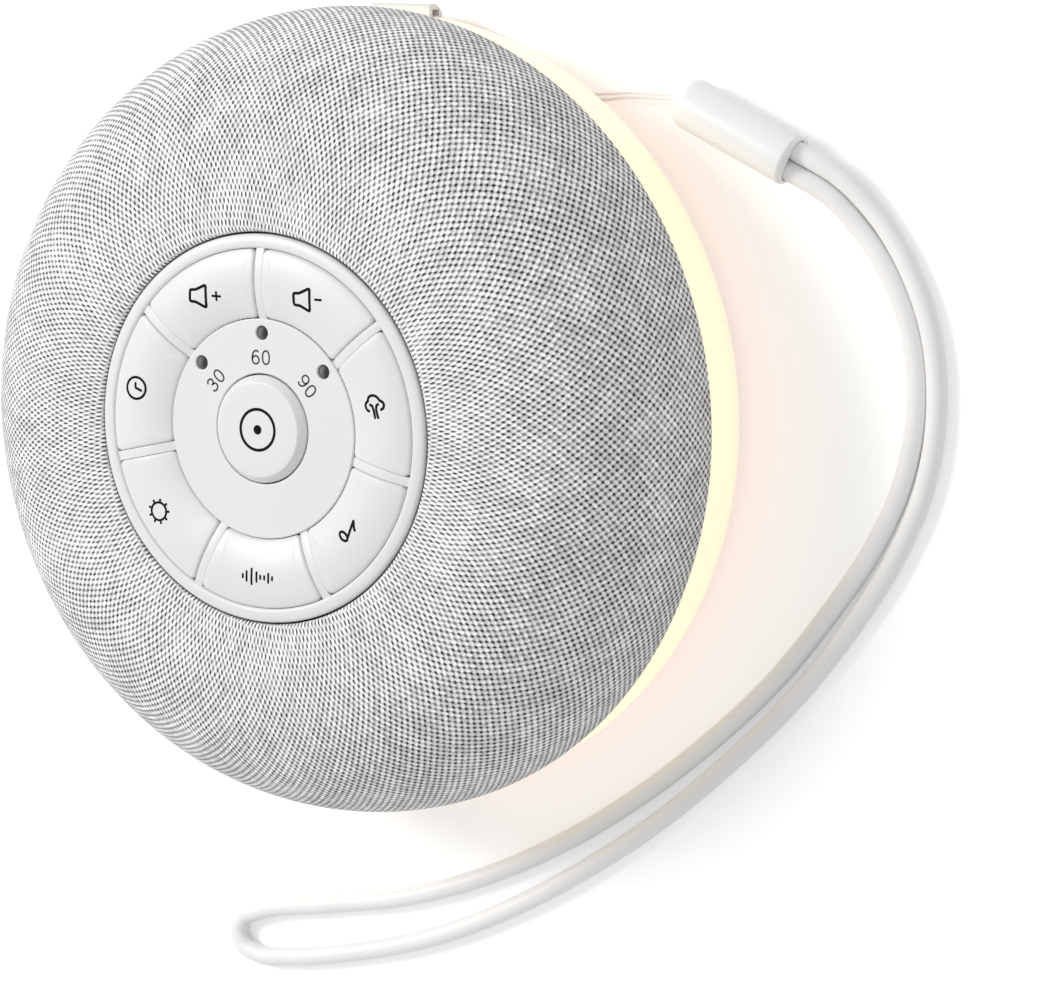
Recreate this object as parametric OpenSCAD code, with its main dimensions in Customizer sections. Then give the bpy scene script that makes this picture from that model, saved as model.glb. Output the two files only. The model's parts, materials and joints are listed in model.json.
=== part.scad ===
// Portable white noise sound machine with a light ring and a wrist lanyard.
// It lies on its back: +Z is the axis of the control panel, +Y points to the lanyard lug
// (12 o'clock on the panel) and +X to 3 o'clock. The origin is the centre of the foot's
// underside. All sizes are in millimetres.

/* [Body] */
// Radius of the fabric dome at its widest
body_r = 50; // [48:0.5:52]
// Height of the widest ring of the dome above the table
belt_z = 16; // [15.5:0.1:17]
// Height of the dome where it meets the control panel
panel_z = 37; // [36.9:0.1:37.2]
// Thickness of the woven cover
skin = 0.8; // [0.6:0.1:0.9]
// Wall thickness of the front shell
shell_wall = 1.8; // [1.5:0.1:2]
// Number of sound slots in the front shell
slot_count = 30; // [28:2:32]
// Width of one sound slot
slot_w = 1.6; // [1:0.1:2]

/* [Base] */
// Radius of the back cover's side wall
base_r = 43.5; // [43.2:0.1:43.5]
// Thickness of the back cover's floor
base_floor = 2; // [1.8:0.1:2.2]
// Wall thickness of the back cover
base_wall = 1.8; // [1.5:0.1:2]
// Height of the back cover's underside above the table
base_lift = 1; // [0.8:0.1:1.2]
// Inner radius of the foot ring
foot_r1 = 32.2; // [30:0.1:33]
// Outer radius of the foot ring
foot_r2 = 40.8; // [40:0.1:40.8]

/* [Light ring] */
// Outer radius of the light ring
ring_r = 48.8; // [48.5:0.1:49]
// Radius of the light ring's rounded lower edge
ring_round = 3.8; // [3.5:0.1:3.8]
// Wall thickness of the light ring
ring_wall = 2; // [1.8:0.1:2]
// Number of places for lamps round the ring
lamp_count = 24; // [20:2:28]

/* [Control panel] */
// Outer radius of the panel's frame
panel_r = 23.5; // [23.3:0.1:23.5]
// Outer radius of the ring of buttons
keys_r2 = 21.6; // [21.4:0.1:21.6]
// Inner radius of the ring of buttons
keys_r1 = 13.6; // [13.6:0.1:13.8]
// Height of a button's crown above the table
key_top = 37.6; // [37.4:0.1:37.8]
// Radius of the centre plate
plate_r = 13.3; // [13.2:0.1:13.3]
// Height of the centre plate's face above the table
plate_top = 36.6; // [36.5:0.1:36.8]
// Radius of the power button
power_r = 6.5; // [6:0.1:6.6]
// Height of the power button's face above the table
power_top = 37.5; // [37.3:0.1:37.8]
// Radius of the circle that the timer lamps stand on
timer_pcd_r = 11.6; // [11.4:0.1:11.8]
// Angle between two timer lamps
timer_step = 50; // [45:1:52]
// Travel of every button
travel = 0.7; // [0.4:0.1:0.7]

/* [Speaker] */
// Outer radius of the speaker's mounting flange
speaker_r = 24.6; // [24:0.1:24.6]
// Radius of the speaker's magnet
magnet_r = 13; // [11:0.5:13]

/* [Lanyard] */
// Diameter of the wrist cord
cord_d = 2.5; // [2.3:0.1:2.5]
// Diameter of the thin string
string_d = 0.3; // [0.2:0.02:0.3]
// Diameter of the bead
bead_d = 6.5; // [6.4:0.1:6.7]
// Length of the bead
bead_len = 17.2; // [16:0.2:19]

/* [Hidden] */

$fn = 96;
gap = 0.05;                    // air between two fixed pieces
play = 0.2;                    // air between a button and what surrounds it
eps = 0.01;

seam_z = 14.8;                 // plane between the front shell and the lower parts
cover_top = 13.4;              // top of the back cover's wall, under the chassis
floor_z = base_lift + base_floor;
foot_inlay = 0.8;              // how deep the foot sits in the back cover
ring_low = 3.7;                // underside of the light ring
port_z = 9;                    // height of the charging port's axis
board_z = 10.6;                // underside of the main board
board_t = 1.4;
post_r = 37;                   // circle of the four housing screws
post_turn = [42, 138, 222, 318];
housing_bore = 1.1;
well_r = 24.4;                 // well in the front shell that holds the panel
well_floor = 27.5;
well_t = 1.5;
rest_z = 22.5;                 // shelf of the chassis that carries the speaker
flange_z = 23;
flange_t = 0.9;
speaker_screw_r = 22.9;
control_z = 30.4;              // underside of the control board
control_t = 1.6;
board_r = 22.2;                // control board and key mat
mat_z = 32.9;
mat_t = 0.4;
key_z = 34.3;                  // underside of the buttons
key_flange = 0.6;              // thickness of a button's retaining flange
key_turn = 360 / 7;            // angle from one ring button to the next
spoke_w = 0.9;                 // rib between two ring buttons
rib_sink = 0.5;                // how far the ribs lie below the buttons' crown
boss_r = 1.6;                  // screw bosses under three of the ribs
plate_z = 35.2;                // underside of the centre plate
keys_mid = (keys_r1 + keys_r2) / 2;
boss_keys = [0, 2, 5];         // ribs that carry a screw boss
bead_pos = [46.1, 36, bead_d / 2];
bead_turn = -24.5;
pin_pos = [-0.9, 47.85];       // the pin inside the lug
lug_w = 8.8;
lug_tunnel_z = 5.15;           // height of the string inside the lug

// Thin string, from inside the bead to the lug, round its pin and back
string_route = [
    [42.5, 37.85, 3.35], [40.5, 38.75, 3.35], [38.7, 39.6, 3.35], [37.3, 39.7, 3.3],
    [35.4, 39.65, 2.95], [33.5, 39.7, 2.45], [31.4, 39.7, 1.8], [29.2, 39.6, 1.15],
    [26.8, 39.4, 0.6], [23.3, 39.4, 0.4], [18.3, 42.2, 0.4], [12.8, 45.4, 0.8], [10.2, 46.8, 2.2],
    [8.2, 47.7, 3.7], [6.4, 48.2, 4.7], [4.4, 48.4, 5.1], [0.6, 48.7, 5.15], [-0.9, 48.8, 5.15],
    [-1.6, 48.5, 5.15], [-1.85, 47.85, 5.15], [-1.6, 47.2, 5.15], [-0.9, 46.9, 5.15],
    [0.6, 47.1, 5.15], [4.2, 48, 4.85], [5.8, 48, 4.2], [7.6, 47.4, 2.9], [9.8, 46.2, 1.4],
    [12.4, 44.9, 0.5], [17.9, 41.9, 0.25], [23.3, 38.9, 0.2], [25.7, 38.65, 0.25], [28, 38.9, 0.6],
    [30.6, 39.1, 1.3], [32.8, 39.2, 2], [34.7, 39.2, 2.55], [36.3, 39.2, 2.9], [37.4, 39.25, 3.05],
    [38.6, 39.2, 3.15], [40.4, 38.4, 3.15], [42.4, 37.5, 3.15]];

// Wrist cord, from inside the bead round the loop and back into the bead
cord_route = [
    [49.5, 35.85, 3.25], [54.7, 33.5, 3.25], [59.7, 30.8, 2.4], [64, 26.7, 1.5], [68.1, 21, 1.3],
    [71.4, 13.3, 1.25], [72.5, 4.2, 1.25], [71.2, -5.3, 1.25], [67.4, -14.4, 1.25],
    [61.5, -23.6, 1.25], [53.9, -33.1, 1.25], [44.7, -42.2, 1.25], [35, -50.5, 1.25],
    [24.3, -58, 1.25], [13.3, -64.4, 1.25], [1.5, -69.7, 1.25], [-10.8, -73.3, 1.25],
    [-20.7, -75.2, 1.25], [-25.8, -75.5, 1.25], [-27.9, -74.7, 1.25], [-28.9, -72.8, 1.25],
    [-28.1, -70.8, 1.25], [-25.9, -69.8, 1.25], [-15.1, -67.5, 1.25], [-2.6, -64.9, 1.25],
    [9.7, -60.6, 1.25], [21.4, -54.7, 1.25], [32.4, -47.5, 1.25], [42.4, -39.5, 1.25],
    [51.1, -31.2, 1.25], [58.4, -22.3, 1.25], [64.3, -13.8, 1.25], [68.2, -5.4, 1.25],
    [69.9, 4.2, 1.25], [68.9, 12.6, 1.25], [65.8, 19.7, 1.3], [61.9, 24.9, 1.5], [58.1, 28.7, 2.4],
    [53.7, 31.15, 3.25], [48.5, 33.45, 3.25]];

// ---------------------------------------------------------------- outlines and helpers

// Outside of the dome: u is 0 at the panel and 1 at the widest ring
function dome_point(u) = let (s = 90 * pow(u, 1.6))
    [panel_r + (body_r - panel_r) * pow(sin(s), 0.72), belt_z + (panel_z - belt_z) * cos(s)];

function dome_normal(u) = let (
    a = dome_point(max(u - 0.01, 0)),
    b = dome_point(min(u + 0.01, 1)),
    t = (b - a) / norm(b - a)) [-t.y, t.x];

// The dome's outline moved inwards by d, from u1 to u2 in n steps
function dome_line(d, u1, u2, n) = [for (i = [0:n]) let (u = u1 + (u2 - u1) * i / n)
    dome_point(u) - d * dome_normal(u)];

// Points on an arc about c, from angle a1 to a2
function arc(c, r, a1, a2, n) = [for (i = [0:n]) let (a = a1 + (a2 - a1) * i / n)
    c + r * [cos(a), sin(a)]];

function polar(r, a, z = 0) = [r * cos(a), r * sin(a), z];
function unit(v) = v / norm(v);

// A box centred in x and y, standing on z
module block(size, z) {
    translate([-size.x / 2, -size.y / 2, z]) cube(size);
}

module disc(r, z1, z2) {
    translate([0, 0, z1]) cylinder(r = r, h = z2 - z1);
}

module at_posts() {
    for (a = post_turn) translate(polar(post_r, a)) children();
}

module at_board_posts() {
    for (x = [-1, 1]) {
        translate([20 * x, -18, 0]) children();
        translate([17 * x, -34, 0]) children();
    }
}

// Angle of the rib after ring button i, going clockwise; button 0 is volume up
function rib_angle(i) = 90 - i * key_turn;

module at_bosses() {
    for (i = boss_keys) translate(polar(keys_mid, rib_angle(i))) children();
}

// Crown of the ring of buttons moved up by dz, from radius r1 outwards
function crown(r1, dz) = let (
    edge_in = plate_top,
    edge_out = panel_z + 0.1,
    rise = key_top - (edge_in + edge_out) / 2)
    [for (k = [0:8]) let (t = k / 8)
        [r1 + (keys_r2 - r1) * t,
            edge_in + (edge_out - edge_in) * t + rise * 4 * t * (1 - t) + dz]];

module at_timer_lamps() {
    for (i = [-1:1]) translate(polar(timer_pcd_r, 90 + i * timer_step)) children();
}

// A round wire through straight stretches
module wire(points, d) {
    for (i = [1:len(points) - 1]) {
        step = points[i] - points[i - 1];
        translate(points[i - 1])
            rotate([0, acos(step.z / norm(step)), atan2(step.y, step.x)])
                cylinder(d = d, h = norm(step), $fn = 16);
        if (i < len(points) - 1) translate(points[i]) sphere(d = d, $fn = 16);
    }
}

// A tube swept along a route: every ring stands square to the route
module swept_tube(route, d, sides) {
    last = len(route) - 1;
    rings = [for (i = [0:last]) let (
        t = unit(route[min(i + 1, last)] - route[max(i - 1, 0)]),
        side = unit(cross([0, 0, 1], t)),
        up = cross(t, side))
        [for (k = [0:sides - 1]) let (a = (k + 0.5) * 360 / sides)
            route[i] + d / 2 / cos(180 / sides) * (cos(a) * side + sin(a) * up)]];
    walls = [for (i = [0:last - 1], k = [0:sides - 1]) let (n = (k + 1) % sides)
        [i * sides + k, (i + 1) * sides + k, (i + 1) * sides + n, i * sides + n]];
    caps = [[for (k = [0:sides - 1]) k], [for (k = [sides - 1:-1:0]) last * sides + k]];
    polyhedron(points = [for (r = rings) each r], faces = concat(walls, caps));
}

// ---------------------------------------------------------------- base

module foot_ring() {
    color([0.62, 0.62, 0.63])
        difference() {
            disc(foot_r2, 0, base_lift + foot_inlay - gap);
            disc(foot_r1, -eps, base_lift + foot_inlay);
        }
}

module port_window(w, h, y1, y2) {
    translate([0, (y1 + y2) / 2, 0]) block([w, y2 - y1, h], port_z - h / 2);
}

module back_cover() {
    edge = 1.4;
    inner_r = base_r - base_wall;
    ledge_z = ring_low - 1;
    lug_tongue_w = 6.2;
    screw_seat_z = 3.2;
    color([0.93, 0.93, 0.93])
        difference() {
            union() {
                difference() {
                    rotate_extrude()
                        polygon(concat([[0, base_lift], [base_r - edge, base_lift]],
                            arc([base_r - edge, base_lift + edge], edge, -60, 0, 3),
                            [[base_r, ledge_z], [base_r + 1.5, ledge_z], [base_r + 1.5, ring_low],
                            [base_r, ring_low], [base_r, cover_top], [0, cover_top]]));
                    disc(inner_r, floor_z, cover_top + eps);
                }
                at_posts() disc(4, floor_z - eps, 6);
                at_board_posts() disc(2, floor_z - eps, board_z);
                for (x = [-1, 1])
                    translate([24.2 * x, 6, 0]) block([1.2, 24, 3.5], floor_z - eps);
            }
            difference() {
                disc(foot_r2 + gap, 0, base_lift + foot_inlay);
                disc(foot_r1 - gap, -eps, base_lift + foot_inlay + eps);
            }
            at_posts() {
                disc(2.6, 0, screw_seat_z);
                disc(1.5, 0, 7);
            }
            at_board_posts() disc(0.8, floor_z + 1, board_z + eps);
            translate([0, -42.5, 0]) block([12, 6, 5.3], port_z - 2.1);
            translate([0, 43, 0]) block([lug_tongue_w, 6, 3.1], ring_low - 0.1);
        }
}

module light_ring() {
    c = [ring_r - ring_round, ring_low + ring_round];
    color([1, 0.96, 0.82])
        difference() {
            rotate_extrude()
                polygon(concat([[ring_r, seam_z]], arc(c, ring_round, 0, -90, 8),
                    [[base_r + gap, ring_low], [base_r + gap, ring_low + ring_wall]],
                    arc(c, ring_round - ring_wall, -90, 0, 6), [[ring_r - ring_wall, seam_z]]));
            translate([0, 48, 0]) block([lug_w + 0.2, 10, 3.7], 3);
            port_window(14.2, 7.8, -ring_r - 2, -base_r + 0.5);
        }
}

module lamp_strip() {
    r = base_r + gap;
    color([0.95, 0.9, 0.6])
        difference() {
            disc(r + 0.3, 6.6, 12.6);
            disc(r, 6, 13);
            port_window(14.2, 8, -base_r - 2, -base_r + 4);
            translate([0, 44, 0]) block([lug_w + 0.4, 6, 1], 6.5);
        }
}

module ring_lamps() {
    step = 360 / lamp_count;
    color([1, 0.9, 0.5])
        for (i = [0:lamp_count - 1]) {
            a = (i + 0.5) * step;
            if (abs(a - 270) > step)
                rotate([0, 0, a]) translate([base_r + 0.4 + 0.6, 0, 0]) block([1.2, 3.5, 2.8], 8.2);
        }
}

// ---------------------------------------------------------------- lanyard lug and port

module lanyard_lug() {
    top = 6.6;
    outer = 50;
    tunnel_h = 1.5;
    tunnel_y = [46.4, 49.3];
    color([0.8, 0.8, 0.8])
        difference() {
            union() {
                translate([lug_w / 2, 0, 0]) rotate([90, 0, -90]) linear_extrude(lug_w)
                    polygon([[-43.7, ring_low], [-outer + 1.1, ring_low], [-outer + 0.5, 4.2],
                        [-outer, 5.1], [-outer, top - 0.3], [-outer + 0.3, top], [-43.7, top]]);
                translate([0, 42.2, 0]) block([6, 3.2, 2.8], ring_low);
                translate([0, 41, 0]) block([6, 1, 3.6], ring_low);
            }
            translate([-2.6, tunnel_y[0], lug_tunnel_z - tunnel_h / 2])
                cube([lug_w, tunnel_y[1] - tunnel_y[0], tunnel_h]);
            translate([pin_pos.x, pin_pos.y, 0]) disc(0.6, 0, 6.3);
        }
}

module lug_pin() {
    color([0.75, 0.75, 0.76])
        translate([pin_pos.x, pin_pos.y, 0]) disc(0.6, ring_low + 0.1, 6.3);
}

// A slot with round ends along Y, centred on the port
module port_slot(w, h, y1, y2) {
    for (x = [-1, 1]) translate([x * (w - h) / 2, y2, port_z])
        rotate([90, 0, 0]) cylinder(d = h, h = y2 - y1, $fn = 48);
    port_window(w - h, h, y1, y2);
}

module port_frame() {
    color([0.8, 0.8, 0.8])
        difference() {
            intersection() {
                port_window(14, 7.6, -ring_r - 1, -base_r - gap);
                disc(ring_r, 0, 20);
            }
            port_slot(9.4, 3.7, -ring_r - 2, -base_r + 1);
        }
}

module usb_port() {
    y_mouth = -48;
    color([0.7, 0.7, 0.72]) {
        difference() {
            port_slot(8.9, 3.2, y_mouth, y_mouth + 7.3);
            port_slot(8.3, 2.6, y_mouth - 1, y_mouth + 6.4);
        }
        translate([0, y_mouth + 3.9, 0]) block([6.6, 6, 0.7], port_z - 0.35);
    }
}

// ---------------------------------------------------------------- electronics

module main_board() {
    color([0.1, 0.35, 0.2])
        difference() {
            union() {
                intersection() {
                    translate([0, -26.5, 0]) block([46, 23, board_t], board_z);
                    disc(base_r - base_wall - 0.5, 0, 20);
                }
                translate([0, -40.4, 0]) block([11, 6, board_t], board_z);
            }
            at_board_posts() disc(0.9, 0, 20);
        }
}

module main_board_parts() {
    z = board_z + board_t;
    color([0.15, 0.15, 0.16]) {
        translate([-8, -30, 0]) block([7, 7, 0.9], z);
        translate([8, -31, 0]) block([5, 4, 1], z);
        translate([14, -27, 0]) block([4, 4, 1.2], z);
        translate([-16, -26, 0]) block([3, 2.5, 1], z);
    }
    color([0.9, 0.9, 0.85]) {
        translate([0, -17.6, 0]) block([5, 3.6, 2.4], z);
        translate([9, -18, 0]) block([5, 3, 2.4], z);
        translate([0, -28.5, 0]) block([9, 3, 1.1], z);
    }
}

module battery_pad() {
    color([0.2, 0.2, 0.2]) translate([0, 7, 0]) block([40, 32, 0.4], floor_z);
}

// Pouch cell with rounded long edges and a folded seam at its lead end
module battery() {
    h = 6;
    w = 44;
    y1 = -11;
    y2 = 25;
    z = floor_z + 0.4;
    color([0.75, 0.76, 0.78]) {
        translate([0, (y1 + y2) / 2, 0]) block([w - h, y2 - y1, h], z);
        for (x = [-1, 1]) translate([x * (w - h) / 2, y2, z + h / 2])
            rotate([90, 0, 0]) cylinder(d = h, h = y2 - y1, $fn = 48);
        translate([0, y1 - 0.8, 0]) block([w - 14, 1.6, 2], z + 1);
    }
}

module battery_lead() {
    color([0.8, 0.1, 0.1]) for (x = [-1, 1])
        wire([[1.2 * x, -12.6, 6.1], [1.2 * x, -14, 6.1], [1.2 * x, -14, 13.4],
            [1.2 * x, -15.8, 13.4]], 0.9);
}

module speaker_lead() {
    color([0.1, 0.1, 0.1]) for (x = [8, 10])
        wire([[x, -12.5, 15.8], [x, -15.2, 15.8], [x, -15.2, 13.4], [x, -16.5, 13.4]], 0.8);
}

// Flat cable from the control board, past the speaker, to the main board
module ribbon_cable() {
    w = 8;
    t = 0.3;
    color([0.85, 0.85, 0.8]) {
        translate([0, -16.2, 0]) block([w, t, 4.3], 26.1);
        translate([0, -22.6, 0]) block([w, 13.1, t], 26.1);
        translate([0, -29, 0]) block([w, t, 13.3], 13.1);
    }
}

// ---------------------------------------------------------------- chassis and speaker

module chassis() {
    outer = ring_r - ring_wall - 0.4;
    color([0.25, 0.25, 0.26])
        difference() {
            union() {
                rotate_extrude()
                    polygon([[24.8, cover_top], [outer, cover_top], [outer, seam_z],
                        [26.2, seam_z], [26.2, rest_z], [20.4, rest_z], [20.4, rest_z - 1.4],
                        [24.8, rest_z - 1.4]]);
                at_posts() disc(3.2, 6, cover_top + eps);
            }
            at_posts() disc(1.5, 5, 16);
            for (i = [0:3]) translate(polar(speaker_screw_r, 45 + 90 * i)) disc(0.8, 20, 24);
            translate([0, -29, 0]) block([9, 2, 4], 12.5);
            for (a = [0:30:330]) if (abs(a - 270) > 20)
                rotate([0, 0, a]) translate([32.5, 0, 0]) block([6, 5, 4], 12.5);
        }
}

module speaker_gasket() {
    color([0.12, 0.12, 0.12])
        difference() {
            disc(speaker_r, rest_z, flange_z);
            disc(20.6, rest_z - 1, flange_z + 1);
            for (i = [0:3]) translate(polar(speaker_screw_r, 45 + 90 * i)) disc(1, 20, 24);
        }
}

module speaker_basket() {
    seat = 14.6;
    hub = 6.7;
    color([0.3, 0.3, 0.32])
        difference() {
            rotate_extrude()
                polygon([[speaker_r, flange_z], [19.7, flange_z], [19, 21.5], [13.4, seat],
                    [hub, seat], [hub, seat + 0.8], [13, seat + 0.8], [18.2, 21.8],
                    [19, flange_z + flange_t], [speaker_r, flange_z + flange_t]]);
            for (i = [0:3]) {
                rotate([0, 0, 90 * i]) translate([17, 0, 0]) block([7, 12, 3.5], 16.8);
                translate(polar(speaker_screw_r, 45 + 90 * i)) disc(1, 20, 26);
            }
        }
}

module speaker_magnet() {
    color([0.2, 0.2, 0.2])
        difference() {
            disc(magnet_r, 10.6, 14);
            disc(7, 10, 15);
        }
}

module speaker_yoke() {
    color([0.6, 0.6, 0.62]) {
        disc(11.5, 9.8, 10.6);
        disc(5.2, 10.6 - eps, 15.4);
        difference() {
            disc(11.5, 14, 14.6);
            disc(6.6, 13, 15);
        }
    }
}

module voice_coil() {
    color([0.72, 0.42, 0.2])
        difference() {
            disc(6.2, 12.4, 18);
            disc(5.6, 12, 18.5);
        }
}

module speaker_cone() {
    color([0.14, 0.14, 0.14])
        rotate_extrude()
            polygon([[6.25, 17.6], [18.2, 23], [18.2, 23.5], [6.25, 18.1]]);
}

module dust_cap() {
    r = 7;
    rise = 2.2;
    edge_z = 18.5;
    bowl = [for (i = [0:8]) let (x = r * i / 8) [x, edge_z + rise * (1 - pow(x / r, 2))]];
    color([0.1, 0.1, 0.1])
        rotate_extrude()
            polygon(concat([for (i = [8:-1:0]) bowl[i] + [0, 0.4]], bowl));
}

module speaker_surround() {
    c = [19.9, flange_z + flange_t];
    color([0.08, 0.08, 0.08])
        rotate_extrude()
            polygon(concat(arc(c, 1.4, 180, 0, 12), arc(c, 1, 0, 180, 12)));
}

// ---------------------------------------------------------------- front shell and cover

module front_shell() {
    d = skin + gap;
    post_top = 33;
    color([0.2, 0.2, 0.21])
        difference() {
            union() {
                rotate_extrude()
                    polygon(concat([[well_r, panel_z - d - shell_wall]],
                        [[well_r, panel_z - d - 0.1]], dome_line(d, 0.1, 1, 12),
                        [[body_r - d, seam_z], [44.8, seam_z], [44.8, seam_z + 1.6],
                        [body_r - d - shell_wall, seam_z + 1.6]],
                        dome_line(d + shell_wall, 1, 0.2, 10)));
                rotate_extrude()
                    polygon([[0, well_floor], [well_r + 1.6, well_floor],
                        [well_r + 1.6, panel_z - d - 0.9], [well_r, panel_z - d - 0.9],
                        [well_r, well_floor + well_t], [0, well_floor + well_t]]);
                intersection() {
                    at_posts() disc(2.6, seam_z, 36);
                    rotate_extrude()
                        polygon(concat([[0, 0], [0, post_top]], [[25, post_top]],
                            dome_line(d + 0.6, 0.4, 1, 8), [[body_r - d - 0.6, 0]]));
                }
            }
            at_posts() disc(housing_bore, 14, 24);
            for (i = [0:slot_count - 1]) rotate([0, 0, i * 360 / slot_count])
                translate([34.5, 0, 0]) block([12, slot_w, 12], 27);
            at_bosses() disc(1.1, 26, 30);
            translate([0, -16.2, 0]) block([9, 1.4, 4], 26);
        }
}

// The woven skin, turned in at the panel and under the rim
module fabric_cover() {
    color([0.72, 0.72, 0.72])
        rotate_extrude()
            polygon(concat([[panel_r + 0.1, 35.2], [panel_r + 0.1, panel_z - 0.6]],
                dome_line(0, 0.06, 1, 22),
                [[body_r, seam_z + 0.6], [body_r - 0.3, seam_z + 0.1], [body_r - skin, seam_z + 0.1]],
                dome_line(skin, 1, 0.1, 20),
                [[panel_r + skin, panel_z - skin - 0.1], [panel_r + skin, 35.2]]));
}

// ---------------------------------------------------------------- control panel

module panel_frame() {
    skirt_z = control_z - 0.2;
    skirt_r = 22.5;
    lip_z = 35.3;              // underside of the lip that holds the buttons' flanges
    rib_z = mat_z + mat_t + gap;
    hub_r = keys_r1 - play;
    hub_wall = 0.7;
    color([0.95, 0.95, 0.95])
        difference() {
            union() {
                rotate_extrude()
                    polygon([[skirt_r, skirt_z], [panel_r, skirt_z], [panel_r, panel_z - 0.4],
                        [panel_r - 0.4, panel_z], [keys_r2 + play, panel_z + 0.1],
                        [keys_r2 + play, lip_z], [skirt_r, lip_z]]);
                difference() {
                    disc(hub_r, rib_z, plate_z);
                    disc(hub_r - hub_wall, rib_z - 1, plate_z + 1);
                }
                intersection() {
                    rotate_extrude()
                        polygon(concat([[hub_r - eps, rib_z]], crown(hub_r - eps, -rib_sink),
                            [[skirt_r + eps, lip_z], [skirt_r + eps, rib_z]]));
                    for (i = [0:6]) rotate([0, 0, rib_angle(i)])
                        translate([keys_mid, 0, 0]) block([12, spoke_w, 5], rib_z - eps);
                }
                at_bosses() disc(boss_r, well_floor + well_t, rib_z + eps);
            }
            at_bosses() disc(0.8, well_floor, 32.6);
        }
}

module centre_plate() {
    color([0.95, 0.95, 0.95])
        difference() {
            disc(plate_r, plate_z, plate_top);
            disc(power_r + play, plate_z - 1, plate_top + 1);
            at_timer_lamps() disc(0.85, plate_z - 1, plate_top + 1);
        }
}

module timer_lenses() {
    color([0.35, 0.35, 0.35]) at_timer_lamps() disc(0.8, 32.7, plate_top - 0.4);
}

module keypad_mat() {
    pad_top = key_z - travel - 0.1;
    color([0.9, 0.9, 0.9])
        difference() {
            union() {
                disc(board_r, mat_z, mat_z + mat_t);
                for (i = [0:6]) translate(polar(keys_mid, rib_angle(i - 0.5)))
                    disc(1.8, mat_z, pad_top);
                disc(2.4, mat_z, pad_top);
            }
            at_bosses() disc(boss_r + 0.3, 32, 35);
            at_timer_lamps() disc(1, 32, 35);
        }
}

module control_board() {
    color([0.1, 0.35, 0.2])
        difference() {
            disc(board_r, control_z, control_z + control_t);
            at_bosses() disc(boss_r + 0.2, 30, 33);
        }
}

module switch_body() {
    block([3.6, 3.6, 0.5], control_z + control_t);
    disc(1.1, control_z + control_t, mat_z - gap);
}

module button_switches() {
    color([0.6, 0.6, 0.6]) {
        for (i = [0:6]) translate(polar(keys_mid, rib_angle(i - 0.5))) switch_body();
        switch_body();
        at_timer_lamps() block([1.6, 0.8, 0.6], control_z + control_t);
    }
}

// Ring button i: a crowned sector between two ribs, with a flange under the frame's lip
module ring_button(i) {
    half = spoke_w / 2 + play;
    flange_r = keys_r2 + 0.6;
    flange_top = key_z + key_flange;
    color([0.96, 0.96, 0.96])
        difference() {
            rotate_extrude()
                polygon(concat([[keys_r1, key_z]], crown(keys_r1, 0), [[keys_r2, flange_top],
                    [flange_r, flange_top], [flange_r, key_z]]));
            // everything outside the sector is cut off along the two ribs
            for (side = [0, 1]) rotate([0, 0, rib_angle(i - side)]) mirror([0, 1 - side, 0])
                translate([-30, -half, 30]) cube([60, 60, 10]);
        }
}

module volume_up_button() { ring_button(0); }
module volume_down_button() { ring_button(1); }
module nature_button() { ring_button(2); }
module lullaby_button() { ring_button(3); }
module white_noise_button() { ring_button(4); }
module night_light_button() { ring_button(5); }
module timer_button() { ring_button(6); }

module power_button() {
    round = 0.8;
    flange_r = power_r + 0.9;
    flange_top = key_z + key_flange;
    color([0.96, 0.96, 0.96])
        rotate_extrude()
            polygon(concat([[0, key_z], [flange_r, key_z], [flange_r, flange_top],
                [power_r, flange_top]],
                arc([power_r - round, power_top - round], round, 0, 90, 6), [[0, power_top]]));
}

// ---------------------------------------------------------------- screws

module screw(head_r, head_h, shaft_r, z1, z2) {
    difference() {
        disc(head_r, z1, z1 + head_h);
        block([head_r * 1.1, 0.4, 0.5], z1 - eps);
        block([0.4, head_r * 1.1, 0.5], z1 - eps);
    }
    disc(shaft_r, z1 + head_h - eps, z2);
}

// A screw driven in from above, with its head resting at height z
module top_screw(head_r, head_h, shaft_r, z, length) {
    translate([0, 0, z]) mirror([0, 0, 1]) screw(head_r, head_h, shaft_r, -head_h, length);
}

module housing_screws() {
    color([0.55, 0.55, 0.57]) at_posts() screw(2.3, 1.2, housing_bore - gap, 2, 23.5);
}

module panel_screws() {
    color([0.55, 0.55, 0.57]) at_bosses() screw(1.7, 0.9, 0.75, well_floor - 0.9, 32.2);
}

module speaker_screws() {
    color([0.55, 0.55, 0.57]) for (i = [0:3])
        translate(polar(speaker_screw_r, 45 + 90 * i))
            top_screw(1.5, 0.8, 0.7, flange_z + flange_t, 2.4);
}

module board_screws() {
    color([0.55, 0.55, 0.57]) at_board_posts() top_screw(1.6, 0.9, 0.7, board_z + board_t, 5);
}

// ---------------------------------------------------------------- lanyard

module lanyard_bead() {
    r = bead_d / 2;
    rear = 2.4;
    lip = 0.5;
    slot_d = 1.1 * cord_d;
    color([0.95, 0.95, 0.95])
        translate(bead_pos) rotate([0, 0, bead_turn]) rotate([0, 90, 0])
            translate([0, 0, -bead_len / 2])
                difference() {
                    rotate_extrude()
                        polygon(concat([[0, 0]], arc([r - rear, rear], rear, -90, 0, 8),
                            arc([r - lip, bead_len - lip], lip, 0, 90, 3), [[0, bead_len]]));
                    for (y = [-1, 1]) translate([0, y * cord_d / 2, bead_len - 8])
                        cylinder(d = slot_d, h = 10);
                    translate([-slot_d / 2, -cord_d / 2, bead_len - 8]) cube([slot_d, cord_d, 10]);
                    translate([0, 0, -1]) cylinder(r = 0.95, h = 9);
                }
}

module lanyard_string() {
    color([0.86, 0.8, 0.78]) swept_tube(string_route, string_d, 8);
}

module lanyard_cord() {
    color([0.93, 0.93, 0.93]) swept_tube(cord_route, cord_d, 8);
}

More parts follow.
